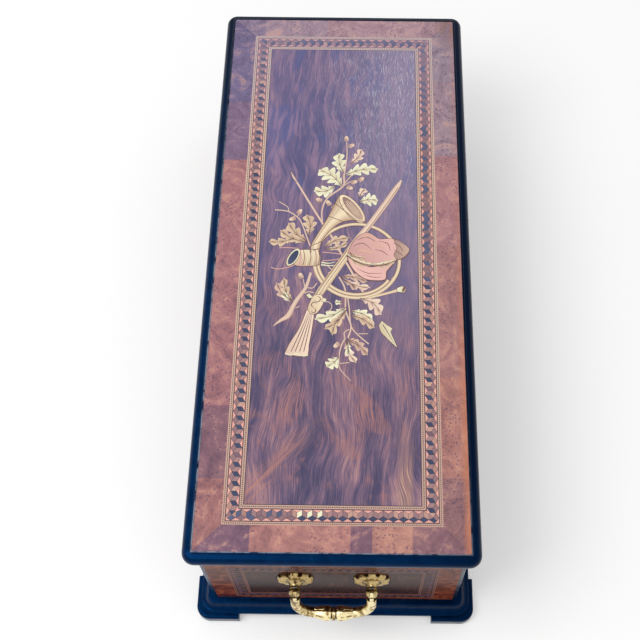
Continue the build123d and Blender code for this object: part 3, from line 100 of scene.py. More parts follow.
class Look:
    """A material, and short names for the nodes that paint it."""

    def __init__(self, name, **sockets):
        self.material = bpy.data.materials.new(name)
        self.material.use_nodes = True
        self.tree = self.material.node_tree
        self.shader = self.tree.nodes["Principled BSDF"]
        self.set(**sockets)
        self.place = self.node("TexCoord", output="Object")
        self.x, self.y, self.z = (self.node("SeparateXYZ", {0: self.place}, i) * 1000 for i in range(3))

    def node(self, kind, inputs=None, output=0, **settings):
        """Adds a node, fills its inputs and gives one of its outputs."""
        made = self.tree.nodes.new("ShaderNode" + kind)
        for key, value in settings.items():
            setattr(made, key, value)
        for key, value in (inputs or {}).items():
            self.put(made.inputs[key], value)
        return Value(self, made.outputs[output])

    def put(self, socket, value):
        if isinstance(value, Value):
            self.tree.links.new(value.socket, socket)
        else:
            socket.default_value = linear(value) if isinstance(value, tuple) else value

    def set(self, **sockets):
        """Sets the shader's own sockets; underscores stand for spaces."""
        for key, value in sockets.items():
            self.put(self.shader.inputs[key.replace("_", " ")], value)
        return self

    def math(self, operation, *values):
        return self.node("Math", dict(enumerate(values)), operation=operation)

    def noise(self, where, scale=1, detail=3, roughness=0.55, distortion=0):
        return self.node("TexNoise", {"Vector": where, "Scale": scale, "Detail": detail, "Roughness": roughness,
                                      "Distortion": distortion}, "Fac")

    def vector(self, x, y, z):
        return self.node("CombineXYZ", {0: x, 1: y, 2: z})

    def grain(self, x, y, z, **how):
        """Noise whose figure is stretched by the scales that x, y and z bring."""
        return self.noise(self.vector(x, y, z), **how)

    def cells(self, where, scale=1):
        """The distance from each point to the nearest of a scatter of points."""
        return self.node("TexVoronoi", {"Vector": where, "Scale": scale}, "Distance")

    def ramp(self, value, *stops, sharp=False):
        """Colours by position; each stop is a position and a colour, in order."""
        made = self.tree.nodes.new("ShaderNodeValToRGB")
        if sharp:
            made.color_ramp.interpolation = "CONSTANT"
        elements = made.color_ramp.elements
        while len(elements) < len(stops):
            elements.new(0.5)
        for element, (position, _) in zip(elements, stops):
            element.position = position
        for element, (_, colour) in zip(elements, stops):
            element.color = linear(colour)
        self.put(made.inputs["Fac"], value)
        return Value(self, made.outputs["Color"])

    def mix(self, share, first, second, blend="MIX"):
        return self.node("Mix", {0: share, 6: first, 7: second}, 2, data_type="RGBA", blend_type=blend)

    def over(self, share, colour):
        """Lays a colour over the one that the look has so far."""
        self.colour = self.mix(share, self.colour, colour)

    def tone(self):
        """The light and shade that a mesh carries, from 0 to 1."""
        carried = self.node("Attribute", output="Color", attribute_name="tone")
        return self.node("SeparateColor", {0: carried})

    def bump(self, height, depth, strength=1):
        """A bump whose full height difference is depth mm."""
        normal = self.node("Bump", {"Height": height, "Distance": depth * MM, "Strength": strength}, "Normal")
        return self.set(Normal=normal)


class Dulled:
    """A copy of a look with less polish."""

    def __init__(self, look, level):
        self.material = look.material.copy()
        self.material.name = "dull_" + look.material.name
        self.material.node_tree.nodes["Principled BSDF"].inputs["Specular IOR Level"].default_value = level


def dress(look, names):
    """Gives CAD nodes a material through their object's slots; names stand in one string."""
    for name in names.split():
        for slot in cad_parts[name].material_slots:
            slot.link = "OBJECT"
            slot.material = look.material


def add(name, data):
    """An object of the scene that shows the data."""
    made = bpy.data.objects.new(name, data)
    bpy.context.scene.collection.objects.link(made)
    return made


def make_piece(name, body, slot, points, faces, looks, face_looks=None, tones=None, smooth=False):
    """A mesh object from points in millimetres; tones are one value for each point."""
    mesh = bpy.data.meshes.new(name)
    mesh.from_pydata([Vector(point) * MM for point in points], [], faces)
    for look in looks:
        mesh.materials.append(look.material)
    if face_looks:
        mesh.polygons.foreach_set("material_index", face_looks)
    if tones:
        layer = mesh.color_attributes.new("tone", "FLOAT_COLOR", "POINT")
        layer.data.foreach_set("color", [part for tone in tones for part in (tone, tone, tone, 1)])
    mesh.polygons.foreach_set("use_smooth", [smooth] * len(faces))
    mesh.update()
    piece = add(name, mesh)
    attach(piece, body)
    return piece


# Veneers

# Polished wood reflects a pale sky, so its clear coat is slightly blue.
polish = {"Roughness": 0.22, "Specular_IOR_Level": 0.7, "Specular_Tint": (0.78, 0.84, 1, 1)}


def field_look():
    look = Look("rosewood_field", **polish)
    x, y = look.x, look.y
    wave = look.grain(x * 0.011, y * 0.014, 0, detail=1) - 0.5
    bent = y + wave * 44 + x * 0.05
    cloud = look.grain(x * 0.009, bent * 0.028, 3, roughness=0.6, distortion=0.5)
    streak = look.grain(x * 0.02, bent * 0.16, 1, detail=5, roughness=0.62, distortion=0.2)
    fine = look.grain(x * 0.03, bent * 1.1, 8, detail=5, roughness=0.7)
    tone = cloud * 0.36 + streak * 0.30 + fine * 0.44
    near = x.smooth(60, -200)
    look.colour = look.ramp(tone, (0.44, (58, 50, 86)), (0.49, (74, 60, 94)), (0.54, (102, 80, 108)),
                       (0.585, (132, 98, 118)), (0.635, (166, 124, 130)), (0.70, (198, 152, 144)))
    # Warm pink flashes run slantwise near the near left corner
    flash = look.grain(x * 0.016 + y * 0.008, y * 0.028 - x * 0.012, 12, distortion=0.7)
    look.over(flash.smooth(0.52, 0.66) * near * fine.smooth(0.4, 0.58) * 0.7, (176, 118, 108))
    # One clear slanting flash crosses the near left corner
    sweep = x + y + 190 + (look.grain(x * 0.03, y * 0.05, 14) - 0.5) * 26
    lines = look.grain((x - y) * 0.012, (x + y) * 0.16, 15, detail=5, roughness=0.65).smooth(0.36, 0.66)
    look.over(abs(sweep).smooth(0, 24, 1, 0) * y.smooth(14, 44) * lines * 0.8, (186, 126, 108))
    pores = look.grain(x * 0.10, bent * 1.7, 5, detail=2)
    look.over(pores.smooth(0.58, 0.68, 0, 0.5), (52, 42, 76))
    # A straight lighter strip at the near right
    edge = look.grain(x * 0.01, 0, 7) * 3 + y
    strip = edge.smooth(-80, -74) * edge.smooth(-68, -60, 1, 0) * x.smooth(-275, -180, 1, 0)
    light = look.ramp(look.grain(x * 0.02, bent * 0.6, 2, detail=5), (0.35, (112, 84, 98)),
                      (0.5, (166, 124, 116)), (0.64, (222, 176, 144)))
    look.over(strip * 0.85, light)
    # A small knot
    knot = ((x + 271) * 0.13).op("POWER", 2) + ((y + 45) * 0.28).op("POWER", 2)
    look.over(knot.smooth(0.3, 1.1, 0.75, 0), (58, 48, 92))
    look.over(y.smooth(-5, -60, 0, 0.45) * x.smooth(-180, -60), (150, 126, 150))
    # Towards the far end the colour turns pale and bluish, partly as painted sheen, with fine scratches
    far_sheen = x.smooth(-40, 260)
    look.over(x.smooth(-200, 220, 0, 0.36), (102, 104, 160))
    patches = look.grain(x * 0.014, y * 0.03, 23, distortion=0.6)
    look.over(patches.smooth(0.52, 0.66) * x.smooth(-100, 60, 0, 0.5), (72, 84, 144))
    rosy = look.grain(x * 0.02, bent * 0.14, 21, detail=4)
    look.over(rosy.smooth(0.50, 0.62) * x.smooth(-60, 120, 0, 0.5), (164, 128, 154))
    across = y + (look.grain(x * 0.012, y * 0.012, 27, detail=2) - 0.5) * 110
    look.over(far_sheen * across.smooth(30, -80) * 0.42, (158, 148, 172))
    scratches = look.grain(x * 0.07, y * 1.4 + x * 0.22, 11, roughness=0.6)
    others = look.grain(x * 0.06, y * 1.4 - x * 0.14, 17, roughness=0.6)
    share = scratches.op("MAXIMUM", others).smooth(0.59, 0.66)
    look.over(share * far_sheen * across.smooth(40, -40) * 0.85, (226, 218, 224))
    look.set(Base_Color=look.colour)
    return look.bump(streak, 0.03, 0.35)


dress(field_look(), "lid_field")


def burr(look, across, along, seed, more=0):
    """Burr figure: a swirling ground with clusters of small dark eyes, and more of them where more says.

    Gives a tone and the eyes' share."""
    where = look.vector(across, along, seed)
    swirl = look.noise(where, 0.03, 5, 0.62, 2.2)
    fine = look.noise(where, 0.35, 4, 0.6, 0.8)
    clusters = (look.noise(where, 0.028, 2) + more).smooth(0.45, 0.54)
    rings = look.cells(where, 0.27)
    eyes = (rings + look.noise(where, 0.5, 2) * 0.3).smooth(0.28, 0.54, 1, 0) * clusters
    return swirl * 0.72 + fine * 0.28, eyes


def leaves(look, place, half, *stops):
    """The ground colours of the veneer leaves along one side: each is where it starts in mm and a colour."""
    return look.ramp((place + half) * (0.5 / half), *[((start / half + 1) / 2, colour) for start, colour in stops],
                     sharp=True)


def crossbanding_look():
    look = Look("burr_crossbanding", **polish)
    x, y = look.x, look.y
    tone, eyes = burr(look, x, y, 4, x.smooth(-310, -280, -0.04, 0.13) * x.smooth(-215, -180, 1, 0))
    end_share = (abs(x) - abs(y)).smooth(veneer_x - veneer_y - 0.2, veneer_x - veneer_y + 0.2)
    # Towards the far end, and on the far side, the leaf colours are bluer and paler, partly as painted sheen
    left = leaves(look, x, veneer_x, (-336, (170, 112, 106)), (-264, (142, 98, 108)),
                  (-185, (176, 118, 118)), (-40, (182, 122, 122)), (121, (138, 110, 138)), (206, (122, 106, 144)))
    right = leaves(look, x, veneer_x, (-336, (158, 110, 108)), (-262, (186, 126, 112)),
                   (-150, (178, 124, 118)), (10, (184, 130, 130)), (130, (168, 140, 150)), (240, (164, 142, 156)))
    near = leaves(look, y, veneer_y, (-135, (148, 102, 108)), (-79, (192, 134, 118)),
                  (-40, (136, 94, 108)), (-18, (188, 128, 118)), (80, (132, 92, 110)))
    far = leaves(look, y, veneer_y, (-135, (176, 140, 148)), (-96, (186, 148, 156)),
                 (20, (172, 144, 158)), (96, (146, 126, 152)))
    side = look.mix(y.smooth(-1, 1), right, left)
    end = look.mix(x.smooth(-1, 1), near, far)
    ground = look.mix(end_share, side, end)
    shade = look.ramp(tone, (0.34, (0.50, 0.46, 0.54, 1)), (0.46, (0.80, 0.76, 0.80, 1)),
                      (0.56, (0.98, 0.98, 0.98, 1)), (0.70, (1, 1, 1, 1)))
    look.colour = look.mix(1, ground, shade, "MULTIPLY")
    look.over(tone.smooth(0.52, 0.66, 0, 0.45), (222, 164, 134))
    look.over(eyes * 0.7, (84, 58, 84))
    corner = x.smooth(278, 322) * y.smooth(-108, -130) * tone.smooth(0.36, 0.56)
    look.over(corner * 0.8, (128, 88, 72))
    # The outer edge of the right-hand side is worn to a warm orange
    worn = (y + look.grain(x * 0.03, 0, 9) * 8).smooth(-130, -122, 1, 0)
    look.over(worn * x.smooth(-330, 120, 0.6, 0.15), (206, 122, 72))
    look.set(Base_Color=look.colour)
    return look.bump(tone, 0.03, 0.4)


dress(crossbanding_look(), "lid_crossbanding")


def inlay_look(name, dark, light, spread=0.22):
    """A veneer for inlay: its shade comes from the mesh, its fine grain runs along the lid."""
    look = Look(name, **polish)
    grain = look.grain(look.x * 0.12, look.y * 1.1, look.z * 1.1, detail=4)
    look.colour = look.ramp(look.tone() + (grain - 0.5) * spread, (0, dark), (1, light))
    # The same pale bluish painted sheen as on the field towards the far end
    look.over(look.x.smooth(90, 320, 0, 0.32), (150, 140, 178))
    return look.set(Base_Color=look.colour)


cream, salmon, navy, grey, blush, line, tan, horn, cloth, brown, olive, ink = palette = [
    inlay_look(*row) for row in (
        ("cream_sycamore", (200, 172, 130), (255, 254, 216), 0.16),
        ("salmon_pearwood", (190, 118, 112), (255, 186, 168)),
        ("dyed_navy_veneer", (26, 34, 66), (92, 98, 132)),
        ("grey_brown_veneer", (98, 74, 90), (186, 140, 134), 0.3),
        ("blush_veneer", (160, 112, 104), (246, 198, 172)),
        ("dark_line_veneer", (40, 28, 42), (84, 60, 70)),
        ("tan_boxwood", (192, 146, 126), (255, 228, 202), 0.3),
        ("horn_maple", (182, 140, 110), (255, 234, 196), 0.3),
        ("rose_cap_veneer", (164, 110, 106), (250, 198, 186)),
        ("brown_leaf_veneer", (136, 102, 94), (230, 192, 168), 0.3),
        ("olive_leaf_veneer", (140, 108, 88), (240, 208, 172), 0.3),
        ("engraved_line", (76, 48, 50), (146, 100, 84)))]


class Inlay:
    """Thin veneers let into one flat face; their tops stand a hair proud of it."""

    def __init__(self, place):
        """place turns across, along and height in mm into a point of the model in mm."""
        self.place = place
        self.points, self.faces, self.face_looks, self.tones = [], [], [], []
        self.laid = 0

    def lay(self, points, level):
        """Adds points (u, v, tone) and gives the first one's number.

        Each shape lies a hair above the last one of its level, so that no two share a plane."""
        self.laid += 1
        height = proud * level + layer_step * (self.laid % layer_count)
        self.points += [self.place(u, v, height) for u, v, _ in points]
        self.tones += [tone for _, _, tone in points]
        return len(self.points) - len(points)

    def sheet(self, rows, look, level=1):
        """A strip of quads between rows of (u, v, tone)."""
        first, width = self.lay([point for row in rows for point in row], level), len(rows[0])
        for i in range(len(rows) - 1):
            for j in range(width - 1):
                corner = first + i * width + j
                self.faces.append((corner, corner + 1, corner + width + 1, corner + width))
                self.face_looks.append(palette.index(look))

    def patch(self, outline, look, level=1, shade=(0, 0.7, 0.7)):
        """A flat shape; shade is a direction in degrees and the tones at its two ends."""
        angle, low, high = shade
        reach = [u * cos(radians(angle)) + v * sin(radians(angle)) for u, v in outline]
        start, span = min(reach), max(max(reach) - min(reach), 0.001)
        first = self.lay([(u, v, low + (high - low) * (far - start) / span)
                          for (u, v), far in zip(outline, reach)], level)
        self.faces.append(tuple(range(first, first + len(outline))))
        self.face_looks.append(palette.index(look))

    def ribbon(self, path, width, look, level=1, tones=(0.6, 0.6)):
        """A band along a smooth path; width is a number or one number for each point."""
        widths = [width] * len(path) if isinstance(width, (int, float)) else width
        line_points = smooth_path([(u, v, w) for (u, v), w in zip(path, widths)])
        rows = []
        for i, (u, v, w) in enumerate(line_points):
            before, after = line_points[max(i - 1, 0)], line_points[min(i + 1, len(line_points) - 1)]
            du, dv = after[0] - before[0], after[1] - before[1]
            size = hypot(du, dv) or 1
            steps = [j / (len(tones) - 1) - 0.5 for j in range(len(tones))]
            rows.append([(u + dv / size * w * step, v - du / size * w * step, tone)
                         for step, tone in zip(steps, tones)])
        self.sheet(rows, look, level)

    def finish(self, name, body, slot, looks=palette):
        return make_piece(name, body, slot, self.points, self.faces, looks, self.face_looks, self.tones)


def smooth_path(points, steps=6):
    """Points on a smooth curve through the given ones, whatever numbers each of them holds."""
    made = []
    last = len(points) - 1
    for i in range(last):
        a, b, c, d = points[max(i - 1, 0)], points[i], points[i + 1], points[min(i + 2, last)]
        for step in range(steps):
            t = step / steps
            made.append(tuple(
                0.5 * (2 * q + (r - p) * t + (2 * p - 5 * q + 4 * r - s) * t * t + (3 * q - p - 3 * r + s) * t ** 3)
                for p, q, r, s in zip(a, b, c, d)))
    return made + [tuple(points[last])]


def clip(outline, a, b, c):
    """The part of an outline where a u + b w + c is not negative."""
    made = []
    for i, (u, w) in enumerate(outline):
        before = outline[i - 1]
        now, last = a * u + b * w + c, a * before[0] + b * before[1] + c
        if (now < 0) != (last < 0):
            t = last / (last - now)
            made.append((before[0] + (u - before[0]) * t, before[1] + (w - before[1]) * t))
        if now >= 0:
            made.append((u, w))
    return made


def rounded(corners, steps=4):
    """A closed outline with its corners smoothed."""
    return smooth_path([*corners, corners[0]], steps)[:-1]


def scaled(outline, centre, size):
    """An outline made larger or smaller about a point."""
    return [tuple(q + (p - q) * size for p, q in zip(corner, centre)) for corner in outline]


# Banding of tumbling blocks between chequered stringing: its widths in order from outside in, the cubes
# and checks along it, and the sizes of a cube's dark ground and of its thirds
outer_stringing, dark_line, cube_strip, inner_stringing, inner_line = 3.1, 1, 11.6, 3.5, 0.8
cube_pitch, check_pitch, check_length, check_sides = 10.07, 2.1, 0.55, (0.32, 0.68)
ground_size, third_size = 1.03, 0.93
square = (-1, -1), (1, -1), (1, 1), (-1, 1)
hexagon = (0, 0), (0.5, 0.25), (0.5, 0.75), (0, 1), (-0.5, 0.75), (-0.5, 0.25)


def band(inlay, half_u, half_v, colours, scale=1, ground=None, string=None, string_tone=0.2, far_sheen=0):
    """A mitred frame of banding inside a rectangle; colours gives each side's three rhombi."""
    chance = random.Random(7)
    corners = [(half_u * side, half_v * end) for side, end in square]
    dark, cube = dark_line * scale, cube_strip * scale
    for side, paint in enumerate(colours):
        (u0, v0), (u1, v1) = corners[side], corners[(side + 1) % 4]
        length = hypot(u1 - u0, v1 - v0)
        du, dv = (u1 - u0) / length, (v1 - v0) / length

        def lay(outline, look, level, tone, rise=0):
            """Cuts a shape at the mitres and lets it in; rise is what its tone gains along the band."""
            for slope, start in ((1, 0), (-1, length)):
                outline = clip(outline, slope, -1, start)
            if len(outline) > 2:
                placed = [(u0 + du * s - dv * w, v0 + dv * s + du * w) for s, w in outline]
                far = [v for _, v in placed]
                tones = [tone + rise * (end / half_v + 1) / 2 for end in (min(far), max(far))]
                inlay.patch(placed, look, level, (90, *tones))

        def row(low, high, look, tone, rise=0):
            lay([(0, low), (length, low), (length, high), (0, high)], look, 1, tone, rise)

        w = 0
        for stringing in (outer_stringing, inner_stringing):
            size = stringing * scale
            # Where the far-end setting is not zero, the stringing turns paler towards the far end: painted sheen
            row(w, w + size, string or tan, string_tone, far_sheen)
            checks = int(length / (check_pitch * scale))
            low, high = (w + size * share for share in check_sides)
            for i in range(checks):
                s = (i + 0.25) * length / checks
                end = s + check_pitch * scale * check_length
                lay([(s, low), (end, low), (end, high), (s, high)], line, 2, 0.2 + 0.5 * chance.random())
            w += size
            if stringing == outer_stringing:
                row(w, w + dark, line, 0.3)
                cube_start = w + dark
                w = cube_start + cube
                row(w, w + dark, line, 0.3)
                w += dark
        row(w, w + inner_line * scale, line, 0.2)
        row(cube_start, cube_start + cube, ground or salmon, 0.3 if ground else 0.75)
        count = round((length - 2 * cube_start) / (cube_pitch * scale))
        pitch = (length - 2 * cube_start) / count
        for i in range(-2, count + 2):
            s = cube_start + (i + 0.5) * pitch
            ring = [(s + pitch * along, cube_start + cube * up) for along, up in hexagon]
            middle = (s, cube_start + cube / 2)
            lay(scaled(ring, middle, ground_size), line, 2, 0.4)
            start, thirds = paint(chance, s / length)
            for third, (look, tone) in enumerate(thirds):
                rhombus = [ring[(start + 2 * third + k) % 6] for k in range(3)] + [middle]
                centre = [sum(part) / 4 for part in zip(*rhombus)]
                lay(scaled(rhombus, centre, third_size), look, 3, tone)


def paints(start, rules):
    """One side's painter: rules hold, for each rhombus, choices of (chance, veneer, tone)."""
    def paint(chance, share):
        made = []
        for choices in rules:
            pick = chance.random()
            for limit, look, tone in choices:
                if pick <= limit:
                    made.append((look, tone + 0.16 * (chance.random() - 0.5)))
                    break
        return start, made
    return paint


def on_lid(u, v, height):
    """A point of the lid's top, seen as in the picture: u to the right, v away from the left end."""
    return (v, -u, lid_top + height)


# Hexagon corners count from the outer point; the three rhombi begin at corners start, +2 and +4.
light_third = ((0.12, blush, 0.45), (1, grey, 0.72))
mid_third = ((0.2, blush, 0.2), (1, grey, 0.5))
dark_third = ((0.85, navy, 0.25), (1, grey, 0.2))
dull_third = ((0.5, grey, 0.35), (1, navy, 0.7))


def near_paint(chance, share):
    """The near side has a dull start, three bright cubes and then mixed ones."""
    if share < 0.33:
        return paints(5, (dull_third, mid_third, dull_third))(chance, share)
    if share < 0.46:
        return paints(5, (((1, navy, 0.2),), ((1, grey, 0.6),), ((1, cream, 0.8),)))(chance, share)
    return paints(5, (dark_third, ((0.35, blush, 0.4), (1, grey, 0.5)), light_third))(chance, share)


def right_paint(chance, share):
    """The right side is clear near the front and dull and bluish further away."""
    thirds = (dark_third, mid_third, light_third) if share < 0.45 else (dull_third, mid_third, dull_third)
    return paints(3, thirds)(chance, share)


lid_band = Inlay(on_lid)
left_paint = paints(3, (dark_third, mid_third, light_third))
far_paint = paints(3, (dark_third, ((0.5, navy, 0.6), (1, grey, 0.5)), light_third))
# On the lid the stringing turns paler towards the far end: painted sheen
band(lid_band, band_y, band_x, (near_paint, right_paint, far_paint, left_paint), far_sheen=0.4)
lid_band.finish("lid_banding_inlay", "lid", "banding")
dress(line, "lid_banding")


# The picture on the lid: a hunting trophy of oak sprays, horn, spear, gun, flask and cap

def oak_leaf(inlay, base, tip, width, look, level, lobes, bend=0.1):
    """A lobed leaf with a midrib and side veins, shaded from one side to the other."""
    length = hypot(tip[0] - base[0], tip[1] - base[1])
    ahead = ((tip[0] - base[0]) / length, (tip[1] - base[1]) / length)
    across = (-ahead[1], ahead[0])
    steps = 8 * lobes

    def at(t, side):
        bow = bend * length * sin(pi * t)
        return (base[0] + ahead[0] * t * length + across[0] * (side + bow),
                base[1] + ahead[1] * t * length + across[1] * (side + bow))

    def lobe(t):
        return abs(sin(pi * (lobes * t + 0.12))) ** 0.8

    def half_width(t):
        body = sin(pi * min(t * 0.94 + 0.03, 1)) ** 0.7
        return width * 0.58 * body * (0.28 + 0.72 * lobe(t))

    for sign, inner, outer in ((1, 0.72, 1), (-1, 0.42, 0.86)):
        rows, lean = [], 0
        for i in range(steps + 1):
            t = i / steps
            lean = max(lean, min(t + 0.5 / lobes * lobe(t) * (1 - t) ** 0.5, 1.02))
            rows.append([(*at(t, 0), inner), (*at((t + lean) / 2, sign * half_width(t) * 0.55), outer * 0.85),
                         (*at(lean, sign * half_width(t)), outer)])
        inlay.sheet(rows, look, level)
        for vein in range(lobes):
            t = (vein + 0.2) / lobes
            end = min(t + 0.6 / lobes, 0.97)
            inlay.ribbon([at(t, 0), at(end, sign * half_width(end) * 0.75)], (0.6, 0.2), ink, level + 1, (0.5, 0.5))
    inlay.ribbon([at(0, 0), at(0.5, 0), at(0.96, 0)], (0.9, 0.6, 0.3), ink, level + 1, (0.4, 0.4))


def oval(centre, long_half, short_half, angle, count=20):
    turn = radians(angle)
    round_it = [(long_half * cos(2 * pi * i / count), short_half * sin(2 * pi * i / count)) for i in range(count)]
    return [(centre[0] + a * cos(turn) - b * sin(turn), centre[1] + a * sin(turn) + b * cos(turn))
            for a, b in round_it]


def acorn(inlay, centre, angle, size=3.9):
    """A nut in its darker cup."""
    turn = radians(angle)
    outlined(inlay, oval(centre, size, size * 0.68, angle), tan, 4, (angle - 60, 0.35, 0.9), 0.4)
    cup = (centre[0] - cos(turn) * size * 0.55, centre[1] - sin(turn) * size * 0.55)
    inlay.patch(oval(cup, size * 0.5, size * 0.78, angle), brown, 6, (angle - 60, 0.3, 0.9))


def arc(centre, radius, first, last, count=14):
    turns = [radians(first + (last - first) * i / count) for i in range(count + 1)]
    return [(centre[0] + radius * cos(turn), centre[1] + radius * sin(turn)) for turn in turns]


def outlined(inlay, outline, look, level, shade, edge=0.6):
    """A patch with an engraved line round it."""
    inlay.patch(outline, look, level, shade)
    inlay.ribbon(outline + outline[:1], edge, ink, level + 1)


def draw_sprays(inlay):
    for path, width in (
            (((-19, 38), (-20, 55), (-14, 72), (3, 88), (4, 103), (7, 132), (6, 152)), (1.6, 1.6, 2, 2.2, 2, 1.4, 0.8)),
            (((-14, 72), (-8, 83)), 1.2), (((-3, 108), (-2, 113)), 1), (((5, 92), (13, 103), (21, 106)), 1.2),
            (((2, 87), (11, 94), (16, 94)), 1.2), (((-32, 8), (-42, 37), (-48, 46), (-58, 53), (-73, 55)), 1.5),
            (((-58, 53), (-59, 59), (-69, 66)), 1), (((-48, 46), (-45, 51)), 1),
            (((-30, -26), (-35, -45), (-45, -62), (-51, -77)), (2.8, 3.8, 4.6, 5)),
            (((-49, -72), (-53, -80), (-60, -85), (-68, -92)), (5, 5.6, 3.6, 0.5)),
            (((-23, -39), (-27, -45), (-33, -45)), 1.2), (((-26, -51), (-32, -50), (-36, -52)), 1.2),
            (((-41, -68), (-45, -70)), 1), (((-38, -34), (-36, -44)), 1),
            (((1, -31), (8, -47), (9, -72), (15, -91), (12, -105)), 1.8),
            (((9, -106), (5, -115), (3, -128), (4, -141), (16, -155)), (1.6, 1.4, 1.2, 1, 0.6)),
            (((13, -95), (8, -99), (9, -106)), 1.2), (((-12, -17), (-7, -23), (-11, -26)), 1.2),
            (((11, -57), (13, -72), (15, -91), (23, -102), (34, -112)), 1.4), (((23, -100), (33, -100)), 1),
            (((4, -135), (14, -134)), 1)):
        inlay.ribbon(path, width, tan, 3, (0.2, 0.7, 0.4))
    for u, v, tip_u, tip_v, width, look, lobes, *bend in (
            (4, 106, -2, 134, 15, cream, 3), (11, 119, 24, 140, 11, tan, 3, -0.1),
            (5, 103, 43, 112, 15, cream, 4), (2, 88, -25, 110, 20, cream, 4, -0.1),
            (-5, 88, -30, 81, 15, cream, 3, 0.15), (22, 67, 43, 69, 16, cream, 3), (22, 72, 29, 85, 9, tan, 2),
            (-34, 21, -37, 49, 14, olive, 3, -0.1), (-35, 14, -57, 38, 14, olive, 3),
            (-36, 13, -66, 28, 12, olive, 3), (-50, 18, -78, 13, 10, olive, 3), (-17, 6, 11, 19, 10, olive, 3),
            (-16, 4, 10, 13, 7, olive, 3, -0.1), (-48, -63, -67, -39, 10, brown, 3),
            (-48, -63, -59, -33, 9, olive, 3), (-48, -63, -59, -50, 8, cream, 2), (2, -31, 32, -37, 9, brown, 3),
            (3, -32, 35, -44, 9, tan, 3, -0.1), (4, -34, 20, -47, 7, brown, 2), (10, -68, -24, -83, 13, cream, 3),
            (10, -71, -13, -95, 10, olive, 3), (10, -72, -5, -102, 10, olive, 3, -0.1),
            (6, -62, -3, -62, 6, cream, 2), (14, -73, 38, -84, 11, cream, 3), (14, -78, 40, -93, 11, olive, 3),
            (10, -107, 24, -113, 8, brown, 2), (11, -108, 33, -125, 10, brown, 3),
            (10, -108, 21, -134, 9, tan, 3, -0.1), (10, -108, 12, -126, 6, cream, 2),
            (3, -127, -10, -139, 13, cream, 3)):
        oak_leaf(inlay, (u, v), (tip_u, tip_v), width, look, 4, lobes, *bend)
    for u, v, angle in ((6, 155, 95), (12, 145, 30), (-24, 69, 150), (-13, 65, 120), (-6, 60, 60), (-45, 53, 60),
                        (-53, 43, 200), (16, 94, 20), (24, 98, 40), (11, 86, 340), (-41, -30, 110), (0, -114, 220)):
        acorn(inlay, (u, v), angle)


def draw_horn(inlay):
    tube = (0.1, 0.5, 0.95, 0.6, 0.15)
    ring = (20, -10)
    inlay.ribbon(arc(ring, 47, -30, 175, 26), 4.4, horn, 7, tube)
    inlay.ribbon(arc(ring, 46.6, 172, 335, 22), 4.2, horn, 7, tube)
    inlay.ribbon(arc(ring, 42.6, 180, 325, 20), 3.8, horn, 7, tube)
    for radius, first, last in ((44.6, 178, 328), (44.8, -28, 150), (49, -30, 120), (40.7, 185, 322)):
        inlay.ribbon(arc(ring, radius, first, last, 22), 0.5, ink, 9, (0.3, 0.3))
    body = [(-1, 76), (-8, 58), (-15, 42), (-23, 26), (-31, 8), (-30, -4)]
    right = [(29, 40), (14, 42), (1, 38), (-10, 28), (-19, 14), (-22, -2)]
    round_tones = (0, 0.15), (0.25, 0.75), (0.5, 0.98), (0.8, 0.45), (1, 0.1)
    rows = [[(u + (p - u) * share, v + (q - v) * share, tone) for share, tone in round_tones]
            for (u, v), (p, q) in zip(smooth_path(body), smooth_path(right))]
    inlay.sheet(rows, horn, 8)
    for place, width in ((0, 0.7), (1, 0.3), (4, 0.7)):
        inlay.ribbon([row[place][:2] for row in rows[::4]], width, ink, 10, (0.4, 0.4))
    for share in (0.16, 0.34, 0.8, 0.9):
        row = rows[int(share * (len(rows) - 1))]
        inlay.ribbon([row[0][:2], row[2][:2], row[4][:2]], 0.8, ink, 10)
    mouth = oval((14, 57.5), 22.5, 8.6, -54)
    outlined(inlay, mouth, horn, 9, (-54, 0.95, 0.7), 0.7)
    inlay.patch(oval((14.5, 58), 18.5, 5.4, -54), brown, 11, (-54, 0.1, 0.6))
    du, dv = cos(radians(-54)), sin(radians(-54))
    for across in (-2.6, -0.9, 0.9, 2.6):
        reach = 14 - abs(across) * 2
        inlay.ribbon([(14.5 - du * reach - dv * across, 58 - dv * reach + du * across),
                      (14.5 + du * reach - dv * across, 58 + dv * reach + du * across)], 0.7, horn, 12, (0.8, 0.5))
    inlay.ribbon([(33, -57), (46, -53), (59, -49), (66, -46.5)], (3, 3, 3.4, 4.6), horn, 7, tube)
    outlined(inlay, [(64, -44.4), (70, -41.6), (74, -45.5), (72, -49.6), (65, -48.8)], cream, 8, (0, 0.9, 0.4), 0.5)
    inlay.patch(oval((71.6, -45.6), 3.6, 1.6, 68), ink, 10)


def draw_flask(inlay):
    body = [(-52, -15), (-44, 2.5), (-33, 3), (-23, 3), (-20, -6), (-21, -16), (-32, -18), (-44, -18)]
    outlined(inlay, body, horn, 8, (90, 0.35, 0.98), 0.7)
    for u, width, look in ((-43, 1.8, cloth), (-39, 0.7, ink), (-35.5, 1.2, cream), (-32, 0.7, ink), (-29, 1.2, cream),
            (-26, 1.4, brown), (-22.5, 0.7, ink)):
        inlay.ribbon([(u, 2.4), (u + 1.6, -7), (u, -16.8)], width, look, 10, (0.7, 0.5))
    outlined(inlay, oval((-50, -7), 12.2, 5.4, 62), cream, 10, (59, 0.6, 0.95), 0.6)
    inlay.patch(oval((-50, -7), 10, 3.9, 62), navy, 12, (59, 0.5, 0.05))
    for path in (((-74, -20), (-66, -22), (-53, -19), (-46, -15)), ((-66, 5), (-58, 5.5), (-44, 4.5)),
                 ((-18, 0), (-6, -1), (6, -3)), ((-18, -11), (-8, -10), (2, -8))):
        inlay.ribbon(path, 1.3, cloth, 6, (0.3, 0.7, 0.4))
    for path in (((-19, -13), (-10, -14), (-3, -12)), ((-19, -16), (-8, -17), (2, -16))):
        inlay.ribbon(path, (1.8, 1.2, 0.4), cream, 7, (0.4, 0.9, 0.5))


